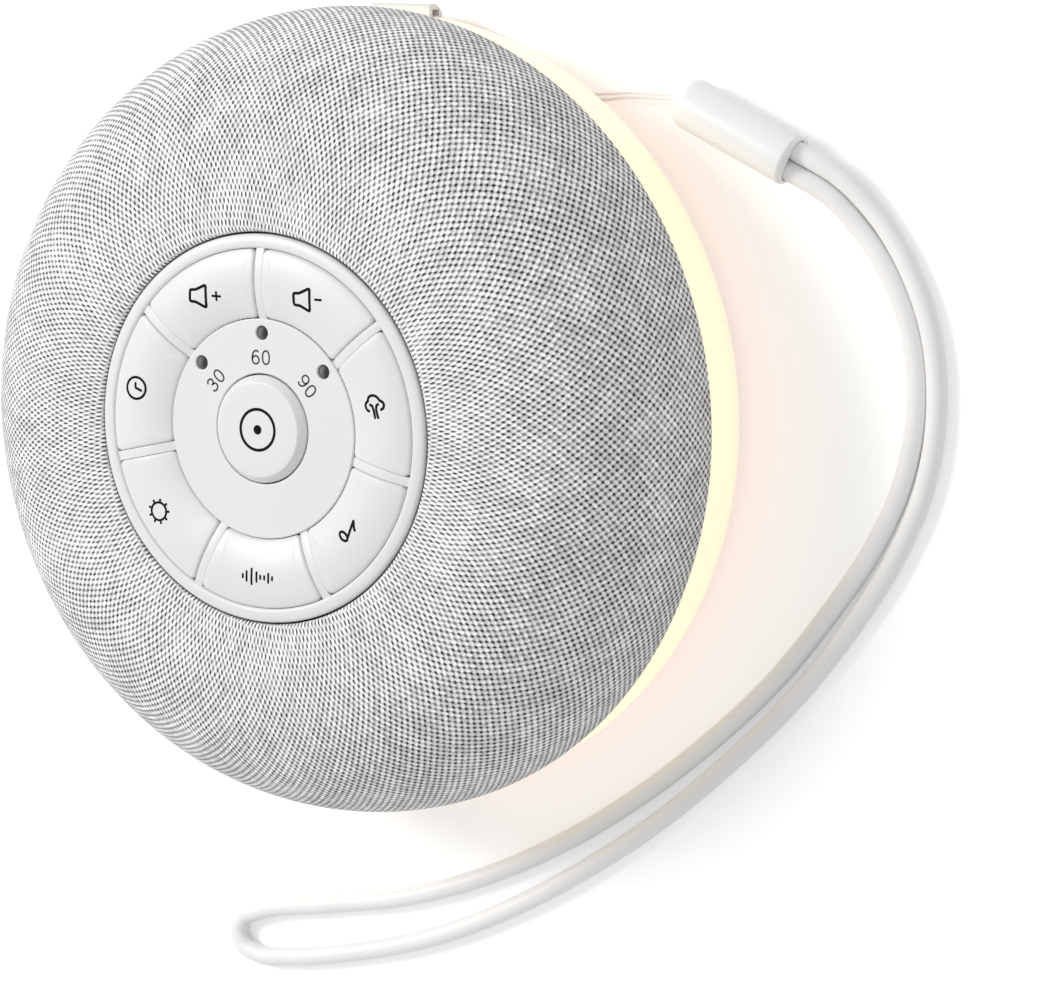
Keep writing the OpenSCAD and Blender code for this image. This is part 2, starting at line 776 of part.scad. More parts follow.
foot_ring();
back_cover();
light_ring();
lamp_strip();
ring_lamps();
lanyard_lug();
lug_pin();
port_frame();
usb_port();
main_board();
main_board_parts();
battery();
battery_pad();
battery_lead();
chassis();
speaker_gasket();
speaker_basket();
speaker_magnet();
speaker_yoke();
speaker_surround();
speaker_cone();
voice_coil();
dust_cap();
speaker_lead();
front_shell();
fabric_cover();
panel_frame();
centre_plate();
timer_lenses();
keypad_mat();
control_board();
button_switches();
ribbon_cable();
volume_up_button();
volume_down_button();
nature_button();
lullaby_button();
white_noise_button();
night_light_button();
timer_button();
power_button();
housing_screws();
panel_screws();
speaker_screws();
board_screws();
lanyard_bead();
lanyard_string();
lanyard_cord();
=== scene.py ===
"""A portable white noise machine: a fabric dome round a button panel, a glowing ring and a cord.

Lengths in the shape functions are millimetres; put() turns them into metres.
+Z is the panel's axis, +Y points to the lanyard lug and +X to 3 o'clock.
"""

import json
import math

import bmesh
import bpy
import numpy as np
from mathutils import Matrix, Vector

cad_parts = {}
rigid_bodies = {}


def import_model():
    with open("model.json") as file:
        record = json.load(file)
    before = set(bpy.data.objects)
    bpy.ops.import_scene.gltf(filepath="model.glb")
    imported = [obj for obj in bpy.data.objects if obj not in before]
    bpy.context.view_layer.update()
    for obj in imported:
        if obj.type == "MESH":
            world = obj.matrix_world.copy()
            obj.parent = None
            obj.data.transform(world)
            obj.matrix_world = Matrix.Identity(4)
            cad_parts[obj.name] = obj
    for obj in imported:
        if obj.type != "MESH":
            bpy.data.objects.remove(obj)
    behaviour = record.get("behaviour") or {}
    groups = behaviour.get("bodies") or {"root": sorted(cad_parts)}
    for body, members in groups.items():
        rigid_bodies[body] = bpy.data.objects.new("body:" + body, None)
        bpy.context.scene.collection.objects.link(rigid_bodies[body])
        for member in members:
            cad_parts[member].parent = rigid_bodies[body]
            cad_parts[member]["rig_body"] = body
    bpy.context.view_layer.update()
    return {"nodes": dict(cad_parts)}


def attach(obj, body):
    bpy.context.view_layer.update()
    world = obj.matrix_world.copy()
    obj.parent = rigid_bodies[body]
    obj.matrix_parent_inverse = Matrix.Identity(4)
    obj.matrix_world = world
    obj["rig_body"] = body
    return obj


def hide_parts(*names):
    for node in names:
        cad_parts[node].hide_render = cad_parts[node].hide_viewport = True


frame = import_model()
scene = bpy.context.scene
MM = 0.001
TAU = 2 * math.pi

# ------------------------------------------------------------------ sizes, in millimetres

BELT_R, PANEL_R = 50.0, 23.5
BELT_Z, PANEL_Z = 16.0, 37.0
DOME_LINE = 38.55
SKIN = 0.8
KEYS = ["volume_up", "volume_down", "nature", "lullaby", "white_noise", "night_light", "timer"]
KEYS_R1, KEYS_R2 = 13.38, 21.72
KEY_SIDE = 0.62
KEY_FOOT = 34.3
KEY_STEP = TAU / len(KEYS)
KEY_CREASE = 50
RIB_HALF, RIB_EDGE, RIB_DROP = 0.585, 0.12, 0.3
PLATE_TOP = 36.6
POWER_R, POWER_TOP = 6.5, 37.5
LENS_R, LENS_CIRCLE, LENS_DEGREES = 0.8, 11.6, (40, 90, 140)
BEAD_AT, BEAD_TURN = np.array([46.1, 36.0, 3.25]), math.radians(-24.5)
BEAD_R, BEAD_LONG = 3.25, 17.2
CORD_R, STRING_R = 1.25, 0.15
ROUTE_STEPS = 12
QUARTER_TURN = np.radians([0, 18, 36, 54, 72, 90])

# ------------------------------------------------------------------ camera

AIM, DISTANCE = np.array([25.44, -9.2, 16.0]), 546.7
AZIMUTH, ELEVATION, ROLL = np.radians([15.52, 57.3, -102.9])
FOCAL_PIXELS, IMAGE_WIDTH, SENSOR_WIDTH = 4507, 1064, 36


def camera_place():
    """The camera looks at the aim from an azimuth and an elevation, rolled about its view."""
    flat = math.cos(ELEVATION)
    back = np.array([flat * math.cos(AZIMUTH), flat * math.sin(AZIMUTH), math.sin(ELEVATION)])
    level = np.array([-math.sin(AZIMUTH), math.cos(AZIMUTH), 0])
    upright = np.cross(back, level)
    right = math.cos(ROLL) * level + math.sin(ROLL) * upright
    up = math.cos(ROLL) * upright - math.sin(ROLL) * level
    place = np.eye(4)
    place[:3, :3] = np.stack([right, up, back], 1)
    place[:3, 3] = (AIM + DISTANCE * back) * MM
    return Matrix(place.tolist())


lens = bpy.data.cameras.new("camera")
lens.sensor_width = SENSOR_WIDTH
lens.lens = FOCAL_PIXELS / IMAGE_WIDTH * SENSOR_WIDTH
lens.clip_start = 0.02
lens.clip_end = 20
camera = bpy.data.objects.new("camera", lens)
scene.collection.objects.link(camera)
camera.matrix_world = camera_place()
scene.camera = camera

# ------------------------------------------------------------------ materials


class Wire:
    """A value or colour on its way through a material. Arithmetic on values adds Math nodes."""

    def __init__(self, paint, socket):
        self.paint = paint
        self.socket = socket

    def math(self, operation, *others):
        """This value and the others through one Math node."""
        return self.paint.node("Math", {"operation": operation}, dict(enumerate((self, *others))))

    def __add__(self, other):
        return self.math("ADD", other)

    def __sub__(self, other):
        return self.math("SUBTRACT", other)

    def __mul__(self, other):
        return self.math("MULTIPLY", other)

    def __abs__(self):
        return self.math("ABSOLUTE")

    __radd__ = __add__
    __rmul__ = __mul__

    def __rsub__(self, other):
        return self.paint.node("Math", {"operation": "SUBTRACT"}, {0: other, 1: self})

    def beside(self, output):
        """Another output of the node that this one comes from."""
        return Wire(self.paint, self.socket.node.outputs[output])

    def part(self, number):
        """One of the three parts of a vector."""
        return self.paint.node("SeparateXYZ", {}, {0: self}).beside(number)

    def smooth(self, low, high):
        """0 below low, 1 above high, and a smooth step between them."""
        inputs = {"Value": self, "From Min": low, "From Max": high}
        return self.paint.node("MapRange", {"interpolation_type": "SMOOTHSTEP"}, inputs)


class Nodes:
    """A node tree, and one method that adds every node to it."""

    def __init__(self, tree):
        self.tree = tree

    def feed(self, socket, value):
        """Puts a number, a colour or a Wire into a socket."""
        if isinstance(value, Wire):
            self.tree.links.new(value.socket, socket)
        elif hasattr(value, "__len__") and socket.type == "RGBA":
            socket.default_value = (*value, 1.0)
        else:
            socket.default_value = value

    def node(self, kind, settings=None, inputs=None, out=0):
        """Adds a node of a type: first its settings, then the values or links of its sockets."""
        new = self.tree.nodes.new("ShaderNode" + kind)
        for key, value in (settings or {}).items():
            setattr(new, key, value)
        for key, value in (inputs or {}).items():
            self.feed(new.inputs[key], value)
        return Wire(self, new.outputs[out])

    def blend(self, factor, first, second):
        """Two colours mixed by a factor."""
        return self.node("Mix", {"data_type": "RGBA"}, {0: factor, 6: first, 7: second}, out=2)

    def vector(self, x, y, z=0.0):
        return self.node("CombineXYZ", {}, {0: x, 1: y, 2: z})

    def place(self, scale=1.0):
        """Object coordinates in millimetres, times a scale."""
        where = self.node("TexCoord", out=3)
        k = np.broadcast_to(1000.0 * np.asarray(scale, float), 3).tolist()
        return self.node("VectorMath", {"operation": "MULTIPLY"}, {0: where, 1: k})

    def noise(self, vector, scale=1.0, detail=2.0, rough=0.5):
        inputs = {"Vector": vector, "Scale": scale, "Detail": detail, "Roughness": rough}
        return self.node("TexNoise", {}, inputs)

    def shown_ray(self):
        """1 for rays from the camera, a reflection or a clear piece, and 0 for all others."""
        camera_ray = self.node("LightPath")
        shown = camera_ray.math("MAXIMUM", camera_ray.beside("Is Glossy Ray"))
        return shown.math("MAXIMUM", camera_ray.beside("Is Transmission Ray"))


class Paint(Nodes):
    """One material, with its Principled shader."""

    def __init__(self, name, colour, roughness, **constants):
        self.material = bpy.data.materials.new(name)
        self.material.use_nodes = True
        super().__init__(self.material.node_tree)
        self.tree.nodes.clear()
        self.shader = self.tree.nodes.new("ShaderNodeBsdfPrincipled")
        output = self.tree.nodes.new("ShaderNodeOutputMaterial")
        self.tree.links.new(self.shader.outputs[0], output.inputs[0])
        self.set("Base Color", colour)
        self.set("Roughness", roughness)
        for key, value in constants.items():
            self.set(key.replace("_", " ").title().replace("Ior", "IOR"), value)

    def set(self, name, value):
        self.feed(self.shader.inputs[name], value)

    def bump(self, height, distance_mm):
        """A Bump node of a height from 0 to 1 and the distance that 1 stands for."""
        inputs = {"Height": height, "Distance": distance_mm * MM, "Strength": 1.0}
        self.set("Normal", self.node("Bump", {}, inputs))


def moulded(name, colour, roughness, grain=0.004, speck=3.0, stain=0.004, **constants):
    """Moulded plastic: fine spark-eroded grain, slow unevenness of gloss and a trace of tone."""
    p = Paint(name, colour, roughness, **constants)
    fine = p.noise(p.place(), speck, 4, 0.6)
    slow = p.noise(p.place(0.06), 1.0, 3, 0.55)
    dark = tuple(c * (1 - 3 * stain) for c in colour)
    p.set("Base Color", p.blend(slow.smooth(0.35, 0.75), colour, dark))
    p.set("Roughness", roughness + (slow - 0.5) * 0.12 + (fine - 0.5) * 0.06)
    p.bump(fine, grain)
    return p.material


def brushed(name, colour, roughness, across=(9.0, 0.6, 9.0), depth=0.004):
    """Drawn or rolled metal: fine streaks along one axis and a slow change of gloss."""
    p = Paint(name, colour, roughness, metallic=1.0)
    streak = p.noise(p.place(across), 1.0, 3, 0.6)
    slow = p.noise(p.place(0.15), 1.0, 2, 0.5)
    p.set("Base Color", p.blend(streak, tuple(c * 0.86 for c in colour), colour))
    p.set("Roughness", roughness + (streak - 0.5) * 0.14 + (slow - 0.5) * 0.1)
    p.bump(streak, depth)
    return p.material


def fibrous(name, colour, dark, size=1.2, roughness=0.85, depth=0.05):
    """Foam, paper and felt: pale fibres and pores of a size over a darker ground."""
    p = Paint(name, colour, roughness)
    pores = p.noise(p.place(), size, 5, 0.65)
    cloud = p.noise(p.place(0.12), 1.0, 2, 0.5)
    p.set("Base Color", p.blend(pores.smooth(0.32, 0.62), dark, colour))
    p.set("Roughness", roughness + (cloud - 0.5) * 0.15)
    p.bump(pores, depth)
    return p.material


def circuit_board():
    """Green lacquer over a fibreglass sheet: fine weave, copper tracks as faint paler lines."""
    p = Paint("green_circuit_board", (0.02, 0.11, 0.05), 0.35, coat_weight=0.3)
    x, y = p.place().part(0), p.place().part(1)
    tracks = p.noise(p.vector((x * 0.8).math("FLOOR"), y * 0.15), 1.0, 2, 0.5)
    rows = p.noise(p.vector(x * 0.15, (y * 0.8).math("FLOOR"), 4.0), 1.0, 2, 0.5)
    lines = tracks.math("MAXIMUM", rows).smooth(0.54, 0.6)
    p.set("Base Color", p.blend(lines, (0.012, 0.08, 0.035), (0.03, 0.19, 0.09)))
    weave = (x * 9.0).math("SINE") * (y * 9.0).math("SINE")
    p.bump(weave * 0.3 + lines, 0.02)
    return p.material


def woven_cloth():
    """Plain weave of grey melange yarn on the piece's own thread counts A and B.

    The holes are the whole-number points of (A, B), each darkened by its own amount as painted
    shade in the openings. Between them each square of the weave shows either yarn, in turn: its
    height is a rounded hump, painted darker where it dips as shade between the yarns, and its
    tone drifts along the yarn. Slow clouds make the tone uneven over the whole cloth. The cloth
    is painted lighter towards the panel and darker low on the dome, as painted light and shade,
    and is darker in a thin band where it rolls in at the panel."""
    p = Paint("woven_grey_fabric", (0.6, 0.6, 0.6), 0.9, sheen_weight=0.05, sheen_roughness=0.5)
    count = p.node("UVMap", {"uv_map": "threads"})
    a, b = count.part(0), count.part(1)
    a = a + (p.noise(p.place(0.9), 1.0, 2, 0.5) - 0.5) * 0.4
    b = b + (p.noise(p.vector(a * 0.21, b * 0.21, 9.0), 1.0, 2, 0.5) - 0.5) * 0.3
    wave_a, wave_b = (a * math.pi).math("SINE"), (b * math.pi).math("SINE")
    hump_a, hump_b = abs(wave_a), abs(wave_b)
    over = (wave_a * wave_b * 4.0).math("MAXIMUM", -1.0).math("MINIMUM", 1.0) * 0.5 + 0.5
    height_a = hump_a * (over * hump_b * 0.5 + 0.5)
    height_b = hump_b * ((1 - over) * hump_a * 0.5 + 0.5)
    top_a = (height_a - height_b).smooth(-0.1, 0.1)
    height = height_a.math("MAXIMUM", height_b)

    def yarn_tone(index, along, seed):
        return p.noise(p.vector(index * 7.31 + seed, along * 0.16, seed), 1.0, 3, 0.6)

    tone_a = yarn_tone(a.math("FLOOR"), b, 3.0)
    tone_b = yarn_tone(b.math("FLOOR"), a, 57.0)
    tone = tone_a * top_a + tone_b * (1 - top_a)
    fibre = p.noise(p.vector(a * 5.0, b * 5.0), 1.0, 2, 0.6)
    spot = p.vector((a + 0.5).math("FLOOR"), (b + 0.5).math("FLOOR"), 0.5)
    luck = p.node("TexWhiteNoise", {"noise_dimensions": "3D"}, {0: spot})
    gap = (wave_a * wave_a + wave_b * wave_b).math("SQRT")
    hole = 1 - gap.smooth(0.38, 1.1)
    where = p.place()
    x, y = where.part(0), where.part(1)
    radius = (x * x + y * y).math("SQRT")
    # Painted light: near marks the top of the dome by the panel, and below it makes the cloth
    # lighter there.
    near = 1 - radius.smooth(26.0, 42.0)
    cloud = p.noise(p.place(0.14), 1.0, 3, 0.65)
    light = tone.smooth(0.34, 0.66) * 0.36 + near * 0.12 + 0.82
    light = light + (fibre - 0.5) * 0.3 + (cloud - 0.5) * 0.45
    # Painted shade: each yarn is darker where its hump dips towards the next one.
    edge = height.smooth(0.3, 0.85) * 0.44 + 0.56
    # Painted shade in the openings of the weave: each hole is darkened by its own amount.
    depth = (luck * 0.5 + 0.62 - (cloud - 0.5) * 0.9).math("MINIMUM", 0.98)
    value = light * edge * (1 - hole * depth)
    # Darker in a thin band where the cloth rolls in at the panel frame.
    value = value * (radius.smooth(23.68, 23.82) * 0.75 + 0.25)
    # Painted shade: the cloth is darker low on the dome, towards and below the belt.
    value = value * (where.part(2).smooth(14.0, 24.0) * 0.14 + 0.86)
    p.set("Base Color", p.node("CombineColor", {}, {0: value, 1: value * 0.992, 2: value * 0.997}))
    p.bump(height * 0.85 + fibre * 0.15, 0.16)
    return p.material


def lit_diffuser():
    """Milky plastic lit from inside: cream along its wall, peach towards its rounded lower edge."""
    p = Paint("lit_diffuser", (0.72, 0.68, 0.58), 0.42, emission_strength=1.0)
    z = p.place().part(2)
    low = 1 - z.smooth(5.6, 8.6)
    slow = p.noise(p.place(0.05), 1.0, 2, 0.5)
    wall = p.blend(low * 0.92 + slow * 0.08, (0.55, 0.53, 0.33), (0.56, 0.4, 0.29))
    glow = p.blend(1 - z.smooth(4.0, 5.3), wall, (0.8, 0.42, 0.22))
    p.set("Emission Color", glow)
    p.bump(p.noise(p.place(), 2.4, 3, 0.5), 0.003)
    return p.material


def ribbed_rubber(name, colour):
    """Soft silicone: a fine matt grain, with faint rings from its mould."""
    p = Paint(name, colour, 0.68)
    where = p.place()
    x, y = where.part(0), where.part(1)
    rings = (((x * x + y * y).math("SQRT")) * 6.0).math("SINE")
    grain = p.noise(where, 4.0, 3, 0.6)
    p.set("Base Color", p.blend(grain.smooth(0.3, 0.7), tuple(c * 0.9 for c in colour), colour))
    p.set("Roughness", 0.68 + (grain - 0.5) * 0.15)
    p.bump(rings * 0.25 + grain, 0.01)
    return p.material


def smoked_dome_painted_shade():
    """Tinted lens over a lamp that is off, with painted light and shade: paler on the side that
    faces -X, towards the key lamp, and dark on the other.
    """
    p = Paint("smoked_lens", (0.1, 0.1, 0.102), 0.5, specular_ior_level=0.2)
    haze = p.noise(p.place(), 1.6, 2, 0.5)
    # Painted light and shade: the colour follows the way the surface faces, pale towards -X and
    # dark towards +X.
    side = p.node("TexCoord", out=1).part(0) + (haze - 0.5) * 0.1
    p.set("Base Color", p.blend(side.smooth(-0.6, 0.5), (0.2, 0.2, 0.202), (0.045, 0.044, 0.044)))
    p.bump(haze, 0.002)
    return p.material


WHITE_PANEL = moulded("white_panel_plastic", (0.81, 0.8, 0.805), 0.36)
WHITE_KEYS = moulded("white_key_plastic", (0.81, 0.8, 0.805), 0.38)
INK = (0.6, 0.002, 4.0, 0.02)
PRINT = moulded("black_print", (0.008, 0.008, 0.009), *INK, specular_ior_level=0.05)
GREY_PRINT = moulded("grey_print", (0.07, 0.07, 0.072), *INK, specular_ior_level=0.1)
LUG_GREY = moulded("grey_lug_plastic", (0.76, 0.765, 0.775), 0.38, 0.006)
BASE_WHITE = moulded("white_base_plastic", (0.82, 0.82, 0.825), 0.48, 0.012, 2.6, 0.008)
BEAD = moulded("white_bead_plastic", (0.94, 0.93, 0.925), 0.3)
CORD = moulded("white_cord", (0.94, 0.93, 0.93), 0.32, 0.006, 5.0, 0.006)
STRING = moulded("pale_string", (0.93, 0.92, 0.92), 0.5, 0.01, 8.0, 0.02)
DARK = moulded("dark_inner_plastic", (0.05, 0.05, 0.054), 0.55, 0.01)
BLACK = moulded("black_painted_steel", (0.03, 0.03, 0.032), 0.4, 0.006, 4.0, 0.02)
MAGNET = moulded("sintered_ferrite", (0.07, 0.068, 0.066), 0.6, 0.02, 5.0, 0.05)
CHIPS = moulded("black_component", (0.035, 0.035, 0.037), 0.45, 0.006, 4.0, 0.02)
LAMPS = moulded("warm_lamp_chip", (0.85, 0.75, 0.4), 0.3, 0.004, 4.0, 0.02)
STRIP = moulded("white_flex_board", (0.75, 0.75, 0.74), 0.5, 0.006, 4.0, 0.02)
WIRES = moulded("red_wire_jacket", (0.5, 0.03, 0.025), 0.45, 0.006, 5.0, 0.02)
FLAT_CABLE = moulded("grey_flat_cable", (0.42, 0.42, 0.43), 0.5, 0.01, 4.0, 0.03)
KEY_MAT = moulded("clear_silicone_mat", (0.55, 0.55, 0.56), 0.6, 0.008, 3.0, 0.02)
STEEL = brushed("bright_steel", (0.6, 0.6, 0.61), 0.28)
FOIL = brushed("battery_foil", (0.55, 0.56, 0.58), 0.35, (0.7, 0.7, 4.0), 0.02)
COPPER = brushed("copper_winding", (0.72, 0.36, 0.2), 0.35, (0.4, 0.4, 20.0), 0.03)
FOAM = fibrous("grey_foam", (0.2, 0.2, 0.21), (0.08, 0.08, 0.085), 1.8, 0.9, 0.12)
PAPER = fibrous("pressed_paper", (0.1, 0.1, 0.1), (0.05, 0.05, 0.052), 1.4)
SURROUND = ribbed_rubber("black_rubber", (0.05, 0.05, 0.052))
FOOT = ribbed_rubber("grey_silicone", (0.4, 0.4, 0.41))
BOARD = circuit_board()
LENS = smoked_dome_painted_shade()
RING_GLOW = lit_diffuser()
FABRIC = woven_cloth()

# ------------------------------------------------------------------ shapes


def put(name, points, faces, material, body="housing", slot=None, replaces=(), smooth=True):
    """Makes one piece from points in millimetres and its faces, and lets it ride on a body."""
    mesh = bpy.data.meshes.new(name)
    mesh.from_pydata((np.asarray(points, float) * MM).tolist(), [], [tuple(f) for f in faces])
    mesh.materials.append(material)
    mesh.polygons.foreach_set("use_smooth", np.full(len(mesh.polygons), smooth))
    mesh.update()
    piece = bpy.data.objects.new(name, mesh)
    scene.collection.objects.link(piece)
    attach(piece, body)
    if replaces:
        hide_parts(*replaces)
    return piece


def grid_faces(rows, cols, wrap_rows=False, wrap_cols=False, flip=False):
    """Four-sided faces between the points of a grid stored row by row."""
    r = np.arange(rows if wrap_rows else rows - 1)
    c = np.arange(cols if wrap_cols else cols - 1)
    i, j = np.meshgrid(r, c, indexing="ij")
    i2, j2 = (i + 1) % rows, (j + 1) % cols
    quad = [i * cols + j, i * cols + j2, i2 * cols + j2, i2 * cols + j]
    quad = np.stack(quad[::-1] if flip else quad, -1)
    return quad.reshape(-1, 4)


def around(profile, sides):
    """A profile of radius and height turned about Z: the point at angle t is
    (radius cos t, radius sin t, height). One row for each t, one column for each profile point."""
    profile = np.asarray(profile, float)
    t = np.arange(sides) * TAU / sides
    x = np.cos(t)[:, None] * profile[None, :, 0]
    y = np.sin(t)[:, None] * profile[None, :, 0]
    z = np.broadcast_to(profile[None, :, 1], x.shape)
    return np.stack([x, y, z], -1).reshape(-1, 3)


def turned_ring(name, profile, sides, material, **facts):
    """A closed profile, counter-clockwise in radius and height, turned into a ring."""
    faces = grid_faces(sides, len(profile), True, True)
    return put(name, around(profile, sides), faces, material, **facts)


def bow(centre, radius, start, end, count):
    """Points on an arc about a centre, between two angles in degrees."""
    a = np.radians(np.linspace(start, end, count))
    return np.stack([centre[0] + radius * np.cos(a), centre[1] + radius * np.sin(a)], -1)


def spline(points, count):
    """A smooth line through points: a cubic between each two, whose slope at a point is that of
    the parabola through it and its neighbours over the distances between them."""
    p = np.asarray(points, float)
    far = np.linalg.norm(np.diff(p, axis=0), axis=1)[:, None]
    way = np.diff(p, axis=0) / far
    inner = (way[:-1] * far[1:] + way[1:] * far[:-1]) / (far[:-1] + far[1:])
    slope = np.vstack([way[:1], inner, way[-1:]])
    u = np.linspace(0, len(p) - 1, count)
    i = np.minimum(u.astype(int), len(p) - 2)
    f = (u - i)[:, None]
    here = (2 * f**3 - 3 * f**2 + 1) * p[i] + (f**3 - 2 * f**2 + f) * far[i] * slope[i]
    return here + (3 * f**2 - 2 * f**3) * p[i + 1] + (f**3 - f**2) * far[i] * slope[i + 1]


def tube(path, radius, sides):
    """Rings of a radius, square to a path, the first side level, closed by a fan at each end."""
    path = np.asarray(path, float)
    along = np.gradient(path, axis=0)
    along /= np.linalg.norm(along, axis=1)[:, None]
    side = np.cross([0, 0, 1.0], along)
    side /= np.linalg.norm(side, axis=1)[:, None]
    up = np.cross(along, side)
    a = (np.arange(sides) + 0.5) * TAU / sides
    ring = np.cos(a)[None, :, None] * side[:, None] + np.sin(a)[None, :, None] * up[:, None]
    points = (path[:, None] + radius * ring).reshape(-1, 3)
    count = len(path)
    k = np.arange(sides)
    first, last = np.full(sides, len(points)), np.full(sides, len(points) + 1)
    start = np.stack([first, (k + 1) % sides, k], -1)
    end = np.stack([last, (count - 1) * sides + k, (count - 1) * sides + (k + 1) % sides], -1)
    faces = grid_faces(count, sides, wrap_cols=True).tolist() + start.tolist() + end.tolist()
    return np.vstack([points, path[:1], path[-1:]]), faces


def eased(name, node, width, material, slot=None, angle=30, segments=3):
    """A copy of a CAD node that stands for it: its points merged, its flat faces joined, and its
    sharp edges rounded by a small width."""
    form = bmesh.new()
    form.from_mesh(frame["nodes"][node].data)
    bmesh.ops.remove_doubles(form, verts=form.verts, dist=0.002 * MM)
    flat = {"use_dissolve_boundaries": False, "verts": form.verts, "edges": form.edges}
    bmesh.ops.dissolve_limit(form, angle_limit=math.radians(0.5), **flat)
    points = [tuple(v.co / MM) for v in form.verts]
    faces = [[v.index for v in f.verts] for f in form.faces]
    body = frame["nodes"][node]["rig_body"]
    form.free()
    piece = put(name, points, faces, material, body, slot, [node])
    round_off = piece.modifiers.new("eased edges", "BEVEL")
    round_off.width = width * MM
    round_off.segments = segments
    round_off.limit_method = "ANGLE"
    round_off.angle_limit = math.radians(angle)
    round_off.harden_normals = True
    return piece


# ------------------------------------------------------------------ fabric cover


def dome_line(u, inset=0.0):
    """Radius and height of the dome at a share u of its line: with s = 90 degrees times u^1.6,
    radius = panel + (belt - panel) sin(s)^0.72 and height = belt + (panel - belt) cos(s),
    moved inwards, square to the line, by an inset."""
    s = np.radians(90 * np.asarray(u, float) ** 1.6)
    r = PANEL_R + (BELT_R - PANEL_R) * np.sin(s) ** 0.72
    z = BELT_Z + (PANEL_Z - BELT_Z) * np.cos(s)
    dr, dz = np.gradient(r), np.gradient(z)
    step = np.hypot(dr, dz)
    return np.stack([r + inset * dz / step, z - inset * dr / step], -1)


def fabric_cover():
    """The woven cover: the dome line turned about Z, rolled in at the panel and tucked under at
    the light ring, with an inner face a skin's thickness below. Its threads are counted by
    A = g - (292 t + 5 sin 4t) / 2 pi and B = g + (273 t + 4.25 sin 4t) / 2 pi, where t is the
    angle about Z and g = 0.5 a + 0.01575 a^2 - 0.000177 a^3 at a distance a from the roll's
    middle. Small pleats, 0.05 mm times a sum of two sines of t, start there and fade out
    as exp(-a / 8)."""
    sides = 384
    outer = dome_line(np.linspace(0.1, 1, 96))
    roll = bow((24.4, 36.25), 0.7, 180, 96, 7)
    tuck = bow((49.35, 15.45), 0.62, 0, -80, 7)
    inner = dome_line(np.linspace(0.12, 1, 30), SKIN)[::-1]
    profile = np.vstack([[[23.7, 35.2]], roll, outer, [[49.98, 15.7]], tuck, [[49.2, 14.9]], inner,
                         [[24.3, 36.1], [24.3, 35.2]]])
    step = np.hypot(*np.diff(profile, axis=0).T)
    along = np.concatenate([[0], np.cumsum(step)])
    along -= along[1 + len(roll) // 2]
    cols = len(profile)
    faces = grid_faces(sides, cols, True, True, flip=True)
    points = around(profile, sides)
    angle = np.repeat(np.arange(sides) * TAU / sides, cols)
    pleat = np.sin(37 * angle + 2 * np.sin(3 * angle))
    pleat += 0.6 * np.sin(61 * angle + 1.5 * np.sin(5 * angle))
    reach = np.tile(np.clip(along / 3, 0, 1) * np.exp(-np.clip(along, 0, None) / 8), sides)
    outside = np.arange(cols) < 1 + len(roll) + len(outer)
    points[:, 2] += 0.05 * pleat * reach * np.tile(outside, sides)
    piece = put(
        "woven_dome_cover", points, faces, FABRIC, slot="woven_fabric", replaces=["fabric_cover"]
    )
    row, col = faces // cols, faces % cols
    row = np.where((row == 0) & (row.max(1, keepdims=True) == sides - 1), sides, row)
    t = row * TAU / sides
    a = np.minimum(along, DOME_LINE + 4)[col]
    g = 0.5 * a + 0.01575 * a**2 - 0.000177 * a**3
    count_a = g - (292 * t + 5 * np.sin(4 * t)) / TAU
    count_b = g + (273 * t + 4.25 * np.sin(4 * t)) / TAU
    layer = piece.data.uv_layers.new(name="threads")
    layer.data.foreach_set("uv", np.stack([count_a, count_b], -1).astype(np.float32).ravel())
    return piece


# ------------------------------------------------------------------ control panel


def crown(r):
    """Height of the ring buttons' faces: with t from 0 at the inner edge to 1 at the outer one,
    the plate's top + 0.5 t + 3 t (1 - t)."""
    t = (r - KEYS_R1) / (KEYS_R2 - KEYS_R1)
    return PLATE_TOP + 0.5 * t + 3.0 * t * (1 - t)


def key_rows(corner):
    """The outline of a key as a core line and an outward direction for each of its points.
    A rounded corner's centre lies a corner radius from the arc and from the side, so its angle
    is the half sector less asin((side + corner) / radius). The first half runs from the right
    side over the outer arc to the left, and the second from the left over the inner arc back."""
    per_side, per_corner, per_arc = 5, 7, 37
    half = KEY_STEP / 2
    sideways = np.array([-math.sin(half), -math.cos(half)])

    def run(radius, way):
        reach = half - math.asin((KEY_SIDE + corner) / radius)
        middle = (KEYS_R1 + KEYS_R2) / 2
        wide = half - math.asin((KEY_SIDE + corner) / middle)
        start = middle * np.array([math.cos(wide), -math.sin(wide)])
        corner_at = radius * np.array([math.cos(reach), -math.sin(reach)])
        side = start + (corner_at - start) * np.linspace(0, 1, per_side)[:, None]
        turn = np.linspace(0, 1, per_corner + 1)[1:, None]
        radial = way * np.array([math.cos(reach), -math.sin(reach)])
        swing = sideways * np.cos(turn * math.pi / 2) + radial * np.sin(turn * math.pi / 2)
        swing /= np.linalg.norm(swing, axis=1)[:, None]
        a = np.linspace(-reach, reach, per_arc)[1:-1]
        rim = np.stack([np.cos(a), np.sin(a)], -1)
        core = np.vstack([side, np.repeat(corner_at[None], per_corner, 0), radius * rim])
        out = np.vstack([np.repeat(sideways[None], per_side, 0), swing, way * rim])
        flip = np.array([1, -1])
        ends = per_side + per_corner
        core = np.vstack([core, core[:ends][::-1] * flip])
        return core, np.vstack([out, out[:ends][::-1] * flip])

    upper, up_out = run(KEYS_R2 - corner, 1)
    lower, low_out = run(KEYS_R1 + corner, -1)
    core = np.vstack([upper, lower[-2:0:-1]])
    out = np.vstack([up_out, low_out[-2:0:-1]])
    return core, out, len(upper) - 1


